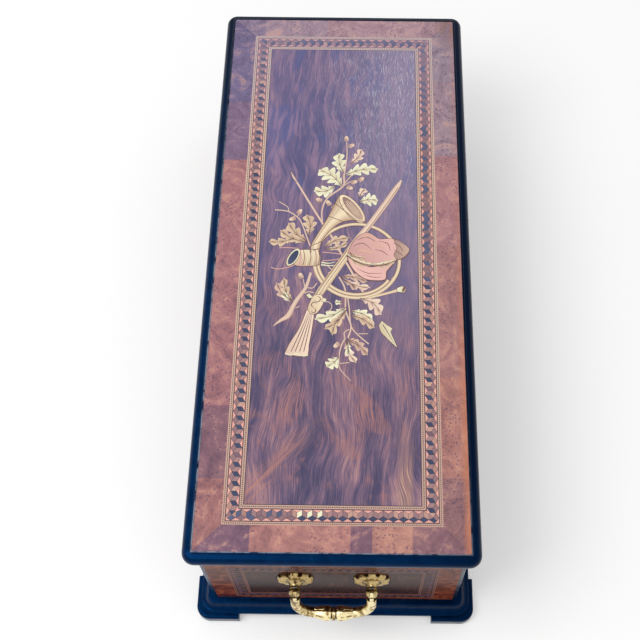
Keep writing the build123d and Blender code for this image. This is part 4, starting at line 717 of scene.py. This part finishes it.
def draw_spear(inlay):
    inlay.ribbon([(-52, 97), (-36, 68), (-19, 38), (-8, 20), (4, -4), (18, -31), (34, -63)],
                 (2.2, 2.4, 2.4, 2.4, 2.4, 2.4, 2.2), tan, 5, (0.15, 0.8, 0.3))
    outlined(inlay, [(-58, 109), (-52, 99), (-49, 93), (-54, 97)], tan, 6, (40, 0.4, 0.9), 0.4)
    oak_leaf(inlay, (24, -57), (47, -77), 15, tan, 7, 3, 0.16)
    blade = [(44.5, -90), (47.7, -84.5), (53, -89), (59, -93.5), (57.5, -98), (64, -116), (53, -105), (47, -98)]
    outlined(inlay, blade, cream, 7, (20, 0.25, 0.7), 0.5)
    inlay.ribbon([(49, -89), (54, -98), (61, -111)], (1, 0.7, 0.3), ink, 9)


def draw_gun(inlay):
    """A long gun from its muzzle at the upper right to the butt at the lower left."""
    round_tones = (0.15, 0.7, 0.95, 0.6, 0.2)
    inlay.ribbon([(70, 97), (64, 86), (50, 62), (33, 35), (22, 19), (13, 4)], (1.6, 6.2, 7, 7, 7.8, 8.4), tan, 9,
                 round_tones)
    inlay.ribbon([(66, 87), (50, 60), (33, 32), (14, 3)], 0.6, ink, 11, (0.7, 0.5))
    inlay.ribbon([(13, 4), (3, -13), (-7, -30), (-16, -45), (-23, -57)], (8.4, 8.8, 9, 9.2, 7.6), horn, 9,
                 round_tones)
    for shift in (-1.6, 1.8):
        inlay.ribbon([(11 + shift, 3), (-2 + shift, -19), (-14 + shift, -39), (-22 + shift, -54)], 0.6, ink, 11,
                (0.7, 0.5))
    # The lock: a long carved plate in line with the barrel, with scrolls and a small bright hammer
    lock = rounded([(-27, -55), (-19, -53), (-15, -60), (-17, -68), (-22, -76), (-28, -77), (-32, -71), (-30, -63)])
    outlined(inlay, lock, horn, 10, (10, 0.5, 0.95), 0.5)
    swelling = (0.3, 0.5, 0.7, 0.9, 1, 1, 1, 0.9, 0.7, 0.5, 0.3)
    for centre, size, first in (((-22, -59), 3.4, 200), ((-25, -66), 3, 20), ((-25.5, -73), 2.4, 200)):
        inlay.ribbon(arc(centre, size, first, first + 250, 10), swelling, ink, 12, (0.7, 0.3))
    for hammer in ([(-31, -58), (-34, -54), (-31, -52), (-27, -57)], [(-16, -57), (-12, -59), (-13, -62),
            (-17, -62)]):
        outlined(inlay, hammer, cream, 12, (0, 0.5, 0.9), 0.4)
    inlay.ribbon(arc((-12, -68), 6, 120, -90, 10), 0.9, tan, 10, (0.4, 0.8))
    stock = [(-33, -72), (-25, -74), (-25.5, -86), (-27, -100), (-29, -114), (-30, -126), (-40, -127.5), (-54, -124),
             (-49, -111), (-42, -98), (-37, -85)]
    outlined(inlay, stock, tan, 9, (0, 0.55, 0.98), 0.7)
    for share in (0.2, 0.4, 0.62, 0.82):
        top, foot = -32.5 + 7 * share, -52 + 21.5 * share
        inlay.ribbon([(top, -76), (top * 0.55 + foot * 0.45, -98), (foot, -122)], (0.3, 0.8, 0.8), ink, 11,
                (0.6, 0.4))
    inlay.ribbon([(-54, -124.5), (-48, -126), (-41, -124.5), (-35, -127), (-30, -126)], 1.3, cream, 12, (0.6, 0.95))


def draw_cap(inlay):
    crown = rounded([(10, -1), (13, 8), (18, 17), (24, 23), (31, 26), (38, 23), (45, 18), (55, 18.5), (64, 17),
                         (71, 12), (78, 5), (75, -3), (68, -8), (61, -9), (48, -13), (33, -13), (20, -8)])
    outlined(inlay, crown, cloth, 13, (35, 0.45, 0.95), 0.6)
    peak = [(61, 17), (67, 15.5), (78, 5), (72, -5), (65, -8), (61, -2), (64, 6)]
    outlined(inlay, rounded(peak, 3), brown, 14, (0, 0.3, 0.8), 0.5)
    for fold in (((20, 16), (31, 20), (42, 13)), ((16, 8), (24, 12), (30, 10), (36, 4)), ((44, 15), (54, 12), (57, 3)),
            ((40, 4), (48, 2), (55, -4)), ((60, 13), (67, 9), (71, 2)), ((61, 4), (67, 0), (71, -4))):
        inlay.ribbon(fold, (0.4, 0.9, 0.3) if len(fold) == 3 else (0.4, 0.9, 0.7, 0.3), ink, 15, (0.7, 0.5))
    for fold in (((24, 19), (32, 22), (40, 18)), ((34, 10), (43, 9), (50, 6)), ((20, 3), (30, 2), (38, -2))):
        inlay.ribbon(fold, (0.6, 3.4, 0.6), blush, 15, (0.55, 0.85, 0.55))
    brim = rounded([(9, -4), (12, -14), (18, -24), (27, -32), (36, -35), (51, -34), (53, -24), (58, -17),
                        (64, -8), (52, -14), (36, -18), (20, -13)])
    outlined(inlay, brim, cloth, 13, (60, 0.95, 0.75), 1)
    # Two leaves lie along the fold between crown and brim
    for base, tip, width in (((9, -3), (37, -15), 8), ((35, -15), (63, -9), 7), ((12, 0), (30, -7), 5)):
        oak_leaf(inlay, base, tip, width, olive, 15, 4, -0.14)
    inlay.ribbon([(8, -2), (20, -9), (36, -14.5), (52, -12), (64, -8)], (0.4, 1.2, 1.4, 1.2, 0.4), cream, 17,
                 (0.5, 0.95, 0.6))
    inlay.ribbon([(10, -5), (22, -12.5), (36, -17.5), (52, -14.5), (63, -10)], (0.3, 0.9, 1, 0.9, 0.3), ink, 17)
    for fold in (((20, -20), (32, -26), (48, -26)), ((28, -28), (38, -31), (47, -31))):
        inlay.ribbon(fold, (0.3, 0.8, 0.3), ink, 15, (0.9, 0.7))


trophy = Inlay(on_lid)
for draw in (draw_sprays, draw_flask, draw_spear, draw_horn, draw_gun, draw_cap):
    draw(trophy)
trophy.finish("lid_trophy_inlay", "lid", "field_veneer")


# Case veneers, and the banding frames let into the ends and the front

panel_inset, panel_rise, panel_scale, panel_polish = 26, 22, 18 / 21, 0.03
panel_middle = (case_low.z + case_high.z) / 2
panel_half_z = (case_high.z - case_low.z) / 2 - panel_rise


def case_look(name, across, half_width):
    """Rosewood with upright grain inside the banding and a redder border outside it."""
    look = Look(name, Roughness=0.2, Specular_IOR_Level=0.035, Specular_Tint=(0.92, 0.94, 1, 1))
    u, z = (look.x if across == "x" else look.y), look.z
    upright = look.grain(u * 0.9, 0, z * 0.03, detail=5, roughness=0.62, distortion=0.3)
    cloud = look.grain(u * 0.02, 2, z * 0.02, distortion=0.8)
    inner = look.ramp(upright * 0.6 + cloud * 0.4, (0.38, (38, 20, 20)), (0.5, (62, 34, 28)), (0.62, (96, 58, 42)))
    swirl = look.grain(u * 0.05, 5, z * 0.05, detail=5, roughness=0.6, distortion=1.6)
    outer = look.ramp(swirl, (0.35, (84, 36, 26)), (0.5, (118, 56, 36)), (0.66, (156, 88, 56)))
    edges = (u, half_width - panel_inset), (z - panel_middle, panel_half_z)
    sides, top_and_foot = (abs(place).smooth(edge - 8, edge - 6) for place, edge in edges)
    border = sides.op("MAXIMUM", top_and_foot)
    look.set(Base_Color=look.mix(border, inner, outer))
    return look.bump(upright, 0.03, 0.4)


dress(case_look("end_veneer", "y", case_y), "case_left_end case_right_end left_partition right_partition")
dress(case_look("front_veneer", "x", case_x), "case_front case_back")

panel_palette = [Dulled(look, panel_polish) for look in palette]
panel_third = ((0.5, grey, 0.1), (1, ink, 0.5))
dash_third = ((1, line, 0.1),)
for name, half, place in (("left_end_banding", case_y, lambda u, w, height: (-case_x - height, -u, panel_middle + w)),
        ("right_end_banding", case_y, lambda u, w, height: (case_x + height, u, panel_middle + w)),
        ("front_banding", case_x, lambda u, w, height: (u, -case_y - height, panel_middle + w))):
    frame_inlay = Inlay(place)
    painters = [paints(start, (dash_third, panel_third, panel_third)) for start in (5, 3, 3, 3)]
    band(frame_inlay, half - panel_inset, panel_half_z, painters, panel_scale, ink, ink, 0.9)
    frame_inlay.finish(name, "case", "banding", panel_palette)


# Plain woods, metals, glass and card

def pine_look():
    look = Look("planed_pine", Roughness=0.6, Specular_IOR_Level=0.3)
    grain = look.grain(look.x * 0.008, look.y * 0.12, look.z * 0.12, detail=5, distortion=0.8)
    lines = look.grain(look.x * 0.02, look.y * 0.9, look.z * 0.9, detail=2)
    look.set(Base_Color=look.ramp(grain * 0.7 + lines * 0.3, (0.36, (176, 132, 84)), (0.52, (206, 166, 114)),
                                  (0.64, (222, 188, 138))))
    return look.bump(grain, 0.1, 0.4)


def gold_look(name, dark, middle, light, reach, carved=False):
    """Lacquered gilt brass: pale on the high places and darker brown deep in recesses as painted light and shade, with
    patches of painted reflection.
    """
    look = Look(name, Metallic=1, Roughness=0.24)
    # 0 deep in a recess, 1 in the open
    open_share = look.node("AmbientOcclusion", {"Distance": reach * MM}, "AO", samples=8).smooth(0.35, 0.95)
    # Patches of painted dark and bright reflection; the same noise bumps the surface
    figure = look.noise(look.place, 130, 2, 0.5, 1.2)
    stain = look.noise(look.place, 60, 4, 0.6, 0.8)
    # On carved pieces the mesh's tone adds painted highlight and shade
    tone = figure * 0.6 + stain * 0.2 + open_share * 0.1 + (look.tone() * 0.3 if carved else 0.06)
    look.colour = look.ramp(tone, (0.38, dark), (0.50, middle), (0.62, light))
    # Painted shade: a darker brown deep in recesses
    look.colour = look.mix(open_share, (58, 36, 16), look.colour)
    look.set(Base_Color=look.colour, Roughness=stain.smooth(0.3, 0.7, 0.16, 0.34))
    return look.bump(figure, 0.12, 0.35)


def metal_look(name, dark, light, roughness, grain):
    """Machined metal with fine tool marks along one direction and a faint tarnish."""
    look = Look(name, Metallic=1)
    marks = look.grain(look.x * grain[0], look.y * grain[1], look.z * grain[2])
    tarnish = look.noise(look.place, 45, 5, 0.62, 0.5)
    look.set(Base_Color=look.ramp(tarnish * 0.7 + marks * 0.3, (0.34, dark), (0.6, light)),
             Roughness=(tarnish * 0.5 + marks * 0.5).smooth(0.25, 0.75, roughness * 0.7, roughness * 1.4))
    return look.bump(marks, 0.01, 0.5)


def iron_look():
    look = Look("bronzed_iron", Metallic=0.35, Roughness=0.5)
    speckle = look.noise(look.place, 900, 2)
    worn = look.noise(look.place, 40, 5, 0.65)
    look.colour = look.ramp(worn, (0.35, (92, 76, 44)), (0.6, (136, 114, 66)))
    look.over(speckle.smooth(0.56, 0.66, 0, 0.6), (206, 178, 108))
    look.set(Base_Color=look.colour)
    return look.bump(speckle, 0.15, 0.6)


def glass_look():
    look = Look("clear_glass", Roughness=0, IOR=1.45, Transmission_Weight=1)
    faint = look.noise(look.place, 12, 2)
    look.set(Base_Color=look.ramp(faint, (0.3, (238, 246, 242)), (0.7, (250, 253, 251))))
    return look


def card_look():
    look = Look("old_card", Roughness=0.8, Specular_IOR_Level=0.2)
    stain = look.noise(look.place, 22, 5, 0.62, 0.4)
    fibre = look.noise(look.place, 700, 2)
    look.set(Base_Color=look.ramp(stain, (0.3, (204, 178, 128)), (0.6, (234, 218, 178))))
    return look.bump(fibre, 0.04, 0.3)


polished_gold = gold_look("gilt_brass_bail", (34, 22, 12), (150, 122, 72), (250, 234, 184), 5)
# The rosettes, their posts, the escutcheon and the petals get darker copies of the same gilt brass: painted shade
shaded_rosette_gold = gold_look("gilt_brass_rosette", (26, 15, 8), (84, 62, 34), (196, 172, 120), 4)
shaded_petal_gold = gold_look("gilt_brass_petals", (16, 9, 4), (66, 46, 24), (186, 160, 106), 3, True)
carved_gold = gold_look("gilt_brass_carving", (26, 16, 8), (128, 102, 60), (250, 232, 180), 3, True)
metals = {name: metal_look(name, *numbers) for name, *numbers in (
    ("machined_brass", (150, 118, 60), (220, 188, 112), 0.28, (0.3, 2, 2)),
    ("turned_brass", (158, 124, 62), (226, 194, 116), 0.24, (3, 0.02, 0.02)),
    ("plate_brass", (160, 126, 64), (214, 182, 108), 0.3, (2, 0.3, 2)),
    ("ground_steel", (120, 122, 128), (196, 198, 202), 0.25, (4, 0.3, 0.3)),
    ("comb_steel", (132, 134, 140), (206, 208, 210), 0.22, (3, 0.15, 0.6)),
    ("spring_steel", (38, 46, 84), (84, 92, 134), 0.3, (0.4, 2, 2)),
    ("blued_screw", (24, 34, 92), (60, 78, 156), 0.2, (2, 2, 0.5)))}
steel = metals["ground_steel"]
for look, names in (
        (pine_look(), "floor_board case_battens lid_board"),
        (card_look(), "tune_card"),
        (glass_look(), "glass_lid_pane"),
        (iron_look(), "bedplate comb_base"),
        (polished_gold, "left_bail right_bail glass_lid_knob"),
        (shaded_rosette_gold, "left_handle_posts right_handle_posts keyhole_escutcheon"),
        (metals["turned_brass"], "music_cylinder barrel_cover spring_barrel glass_lid_pivots"),
        (metals["plate_brass"], "cylinder_bridges barrel_bridges governor_frame governor_cock control_posts"),
        (metals["plate_brass"], "lock_body lock_link_plate case_hinge_leaves lid_hinge_leaves"),
        (metals["machined_brass"], "great_wheel governor_first_wheel governor_second_wheel fan"),
        (steel, "cylinder_arbor tune_snail winding_arbor ratchet_wheel ratchet_click winding_lever"),
        (steel, "worm start_lever change_lever lock_bolt"),
        (metals["comb_steel"], "comb"),
        (metals["spring_steel"], "mainspring"),
        (metals["blued_screw"], "bedplate_screws comb_screws")):
    dress(look, names)

# Leaf relief on the rosettes of the handles

handle_y, handle_z, petals = 40, 118, 10
dish_profile = ((6.4, 7), (8, 5), (9.4, 4.1), (11, 3.6), (14.4, 3.4), (17, 2.8), (19, 2), (20, 0.8))


def between(table, at):
    """Straight lines between the table's points."""
    for (a, low), (b, high) in zip(table, table[1:]):
        if at <= b:
            return low + (high - low) * (at - a) / (b - a)
    return table[-1][1]


def closed_rows(first, rows, turns, step=1):
    """Quads between rows of points that each close on themselves."""
    faces = []
    for start in range(first, first + rows * turns, turns):
        for j in range(turns):
            a, b = start + j, start + (j + 1) % turns
            faces.append((a, b, b + turns, a + turns)[::step])
    return faces


petal_root, petal_length, petal_point = 9.2, 8.2, 1.9


def rosette_leaves(side):
    """Ten raised petals with a creased midrib round each post."""
    rows, turns = 9, 200
    points, faces, tones = [], [], []
    for y in (-handle_y, handle_y):
        faces += closed_rows(len(points), rows, turns, side)
        for i in range(rows + 1):
            t = i / rows
            for j in range(turns):
                angle = 2 * pi * j / turns
                lobe = abs(cos(petals / 2 * (angle - pi / petals)))
                radius = petal_root + (petal_length + petal_point * lobe ** 0.6) * t
                swell = sin(pi * min(t * 0.9 + 0.06, 1)) ** 0.7 * (0.25 + 0.75 * lobe ** 0.8)
                crease = 0.55 * max(0, 1 - (1 - lobe) * 26) * (1 - t * 0.4)
                curl = 0.9 * lobe ** 2 * max(0, t - 0.6) * 2.5
                height = between(dish_profile, radius) + (
                    -0.5 if i in (0, rows) else 0.1 + 1.25 * swell - crease + curl)
                points.append((side * (case_x + height), y + radius * cos(angle), handle_z + radius * sin(angle)))
                # Painted highlight on the swells and painted shade in the creases, as tones
                tones.append(min(1, max(0, 0.75 * swell + 0.35 * t - crease * 1.2)))
    return points, faces, tones


# Leaves that wrap the bail on each side of its middle tie: where the bail hangs, its radius by the distance
# from its middle, how its arms lean and how far the leaves may reach

pivot_reach, bail_drop, hang = 15.5, 50, radians(12)
bail_swell = ((2.6, 6.6), (4.4, 7.9), (6.6, 8.15), (9, 7.9), (13.2, 7), (17.5, 5.9), (22, 4.9), (26, 5), (30, 5))
arm_lean, leaf_limit = 0.1317, 8.18


def bail_leaves(side):
    """Lobed leaves round the bail, their tips lying towards its arms."""
    points, faces, tones = [], [], []
    turns, rows, lobes = 72, 22, 6
    down = Vector((side * sin(hang), 0, -cos(hang)))
    centre = Vector((side * (case_x + pivot_reach), 0, handle_z)) + down * bail_drop
    for cheek in (-1, 1):
        outward = (Vector((0, cheek, 0)) - down * arm_lean).normalized()
        first_axis = outward.cross(down).normalized()
        second_axis = outward.cross(first_axis)
        faces += closed_rows(len(points), rows, turns)
        for i in range(rows + 1):
            share = i / rows
            for j in range(turns):
                angle = 2 * pi * j / turns
                lobe = abs(cos(lobes / 2 * angle))
                reach = 3 + share * (15 + 6 * lobe ** 0.5)
                core = between(bail_swell, reach)
                ridge = 0.75 * lobe ** 0.6 * sin(pi * min(share * 0.85 + 0.15, 1)) ** 0.6
                groove = 0.5 * max(0, 1 - (1 - lobe) * 18)
                tip = 0.6 * max(0, share - 0.75) * 4 * lobe
                radius = min(core + (-0.6 if i in (0, rows) else ridge - groove + tip - 0.15), leaf_limit)
                # Painted highlight on the lobes and where the bail is thickest, painted shade in the grooves, as tones
                tones.append(min(1, max(0, 0.95 * lobe ** 0.8 - groove * 1.3 + 0.25 * (core > 7.6))))
                points.append(centre + outward * reach
                              + (first_axis * cos(angle) + second_axis * sin(angle)) * radius)
    return points, faces, tones


for side, end_name in ((-1, "left"), (1, "right")):
    for name, body, make, look in ((f"{end_name}_rosette_leaves", "case", rosette_leaves, shaded_petal_gold),
                                   (f"{end_name}_bail_leaves", f"{end_name}_bail", bail_leaves, carved_gold)):
        points, faces, tones = make(side)
        make_piece(name, body, "gilt_brass", points, faces, [look], tones=tones, smooth=True)

# Pins of the cylinder, on the beats of a turn

cylinder_y, cylinder_z = 45, 112
comb_low, comb_high = box("comb")
tooth_count, tune_count, tune_step, beats = 72, 8, 0.35, 120
# The radius of the cylinder and half the pin's width at the pin's foot and at its tip
pin_ends = (31 - 0.1, 0.2), (31 + 0.55, 0.2 * 0.8)


def cylinder_pins():
    """Short pins in eight tracks under each comb tooth, on a beat, so that they lie in rows."""
    chance = random.Random(19)
    pitch = (comb_high.x - comb_low.x) / tooth_count
    points, faces = [], []
    for tooth in range(tooth_count):
        for tune in range(tune_count):
            x = comb_low.x + pitch * (tooth + 0.5) + tune_step * (tune - tune_count + 1)
            for _ in range(2 + int(4 * chance.random())):
                angle = 2 * pi * (int(beats * chance.random()) + tune / tune_count) / beats
                first = len(points)
                for radius, half in pin_ends:
                    for along, turn in square:
                        a = angle + turn * half / radius
                        y, z = cylinder_y + radius * cos(a), cylinder_z + radius * sin(a)
                        points.append((x + along * half, y, z))
                faces.append(tuple(range(first + 4, first + 8)))
                for k in range(4):
                    following = first + (k + 1) % 4
                    faces.append((first + k, following, following + 4, first + 4 + k))
    return points, faces


make_piece("cylinder_pins", "cylinder", "steel", *cylinder_pins(), [steel])

# Thread of the endless screw

worm_axis = sum(box("worm"), Vector()) / 2
mesh_z = sum(box("governor_second_wheel"), Vector()).z / 2


def worm_thread():
    """One ridge wound round the screw, kept clear of the wheel's tips."""
    root, crest, lead, half_length, steps = 2.75, 3.3, 2.51, 11, 24
    points, faces = [], []
    count = int(2 * half_length / lead * steps)
    for i in range(count + 1):
        angle = 2 * pi * i / steps
        z = mesh_z - half_length + lead * i / steps
        for radius, rise in ((root, -0.6), (crest, -0.25), (crest, 0.25), (root, 0.6)):
            points.append((worm_axis.x + radius * cos(angle), worm_axis.y + radius * sin(angle), z + rise))
    for i in range(count):
        for k in range(3):
            a = 4 * i + k
            faces.append((a, a + 4, a + 5, a + 1))
    faces += [(0, 1, 2, 3), tuple(4 * count + k for k in (3, 2, 1, 0))]
    return points, faces


make_piece("worm_thread", "fly", "steel", *worm_thread(), [steel])

# Ruled lines and a frame on the tune card, with nothing written on them

card_low, card_high = box("tune_card")
card_margin, card_row = 7, 10.5


def draw_card():
    card = Inlay(lambda u, v, height: (u, v, card_low.z - height))
    half_u, half_v = card_high.x - card_margin, card_high.y - card_margin
    for inset, width, look in ((0, 1.4, cloth), (3, 0.5, ink)):
        ring = [(side * (half_u - inset), end * (half_v - inset)) for side, end in square]
        for start, end in zip(ring, ring[1:] + ring[:1]):
            card.ribbon([start, end], width, look)
    for side in (-1, 1):
        for end in (-1, 1):
            scroll = [((11 - t) * cos(t * 1.15) - 16, (11 - t) * sin(t * 1.15) - 16) for t in range(10)]
            card.ribbon([(side * (half_u + u), end * (half_v + v)) for u, v in scroll], 0.9, cloth)
    for long_half, short_half, width, look in ((46, 12, 0.8, ink), (43, 10, 0.4, cloth)):
        ring = oval((0, half_v - 22), long_half, short_half, 0, 36)
        card.ribbon(ring + [(long_half, half_v - 22)], width, look)
    for row in range(tune_count):
        v = half_v - 46 - row * card_row
        card.ribbon([(-70, v), (70, v)], 0.35, ink)
        card.patch(oval((-76, v + 1.5), 1.6, 1.6, 0, 12), cloth)
    card.finish("tune_card_print", "lid", "card")


draw_card()


def ebony_look():
    """Ebonised gloss: black, with a painted reflection of the sky that makes it dark blue at the left and front."""
    look = Look("ebonised_gloss", Roughness=0.2, Specular_IOR_Level=0.28, Specular_Tint=(0.02, 0.26, 1, 1))
    worn = look.noise(look.place, 90, 6, 0.6)
    # Painted reflection of the sky: dark blue at the left and front
    sky_reflection_side = (look.y - look.x * 0.5).smooth(-60, 150)
    blue = look.ramp(worn, (0.3, (0.0002, 0.007, 0.030, 1)), (0.7, (0.0010, 0.018, 0.062, 1)))
    look.colour = look.mix(sky_reflection_side, (0.0006, 0.0008, 0.0014, 1), blue)
    # Painted highlight: a pale line along the inner edge of the lid's moulding on the sky side, broken up in patches
    out = (abs(look.x) - veneer_x).op("MAXIMUM", abs(look.y) - veneer_y)
    painted_arris_highlight = out.smooth(0.9, 1.5, 1, 0) * look.z.smooth(lid_top - 1.5, lid_top - 0.5)
    look.over(painted_arris_highlight * sky_reflection_side * worn.smooth(0.35, 0.55) * 0.8, (150, 158, 168))
    scuff = look.noise(look.place, 25, 6, 0.7).smooth(0.62, 0.74, 0, 0.25)
    look.over(scuff, (58, 62, 70))
    look.set(Base_Color=look.colour, Roughness=worn.smooth(0.2, 0.8, 0.14, 0.3))
    return look.bump(look.noise(look.place, 260, 4), 0.02, 0.3)


dress(ebony_look(), "corner_strips base_moulding bracket_feet lid_frame lid_moulding glass_lid_frame lever_grip")

# Studio

ambient, floor_glow, floor_reach = 0.62, 0.3, 4000 * MM


def seen_directly(tree):
    """1 for rays of the camera, of mirrors and of glass, 0 for those that light the object."""
    rays = tree.nodes.new("ShaderNodeLightPath").outputs
    seen = rays["Is Camera Ray"]
    for kind in ("Is Glossy Ray", "Is Transmission Ray"):
        either = tree.nodes.new("ShaderNodeMath")
        either.operation = "MAXIMUM"
        tree.links.new(seen, either.inputs[0])
        tree.links.new(rays[kind], either.inputs[1])
        seen = either.outputs[0]
    return seen


def make_floor():
    """White to the camera and to reflections, with the object's shadow kept."""
    look = Look("pale_floor", Roughness=0.9, Specular_IOR_Level=0.1, Base_Color=(0.82, 0.82, 0.82, 1))
    look.set(Emission_Color=(1, 1, 1, 1), Emission_Strength=Value(look, seen_directly(look.tree)) * floor_glow)
    mesh = bpy.data.meshes.new("floor")
    mesh.from_pydata([(x * floor_reach, y * floor_reach, 0) for x, y in square], [], [(0, 1, 2, 3)])
    mesh.materials.append(look.material)
    add("floor", mesh)


def make_world():
    """A white world that lights the object less than it shows."""
    world = bpy.data.worlds.new("studio")
    bpy.context.scene.world = world
    world.use_nodes = True
    tree = world.node_tree
    strength = tree.nodes.new("ShaderNodeMapRange")
    strength.inputs["To Min"].default_value = ambient
    tree.links.new(seen_directly(tree), strength.inputs["Value"])
    tree.links.new(strength.outputs[0], tree.nodes["Background"].inputs["Strength"])
    tree.nodes["Background"].inputs["Color"].default_value = (1, 1, 1, 1)


lamp_place, lamp_aim, lamp_size, lamp_power = (-500, 900, 1900), (0, 0, 100), 1100, 17


def make_lamp():
    """One broad lamp above, behind and to the left of the object."""
    lamp = bpy.data.lights.new("key", "AREA")
    lamp.size = lamp_size * MM
    lamp.energy = lamp_power
    place = Vector(lamp_place) * MM
    facing = (Vector(lamp_aim) * MM - place).to_track_quat("-Z", "Y")
    add("key", lamp).matrix_world = Matrix.Translation(place) @ facing.to_matrix().to_4x4()


# The photograph's camera, from fitting the lid and the case: its lens and picture in pixels, its place,
# two turns and a small roll, and how far it sees in metres
lens_pixels, image_pixels, centre_pixel_x, sensor_width = 1079.56, 640, 359.48, 36
camera_place = -612.29, -27.07, 1244.17
yaw, down, roll, far_clip = 0.0059771, 1.0950626, -0.0062196, 20


def make_camera():
    data = bpy.data.cameras.new("camera")
    data.sensor_width = sensor_width
    data.lens = lens_pixels / image_pixels * sensor_width
    data.shift_x = -(centre_pixel_x - image_pixels / 2) / image_pixels
    data.clip_end = far_clip
    camera = add("camera", data)
    ahead = Vector((cos(yaw) * cos(down), sin(yaw) * cos(down), -sin(down)))
    side = Vector((sin(yaw), -cos(yaw), 0))
    above = side.cross(ahead)
    right = cos(roll) * side - sin(roll) * above
    upward = sin(roll) * side + cos(roll) * above
    turned = Matrix((right, upward, -ahead)).transposed().to_4x4()
    camera.matrix_world = Matrix.Translation(Vector(camera_place) * MM) @ turned
    bpy.context.scene.camera = camera


make_floor()
make_world()
make_lamp()
make_camera()
bpy.context.scene.view_settings.view_transform = "Standard"
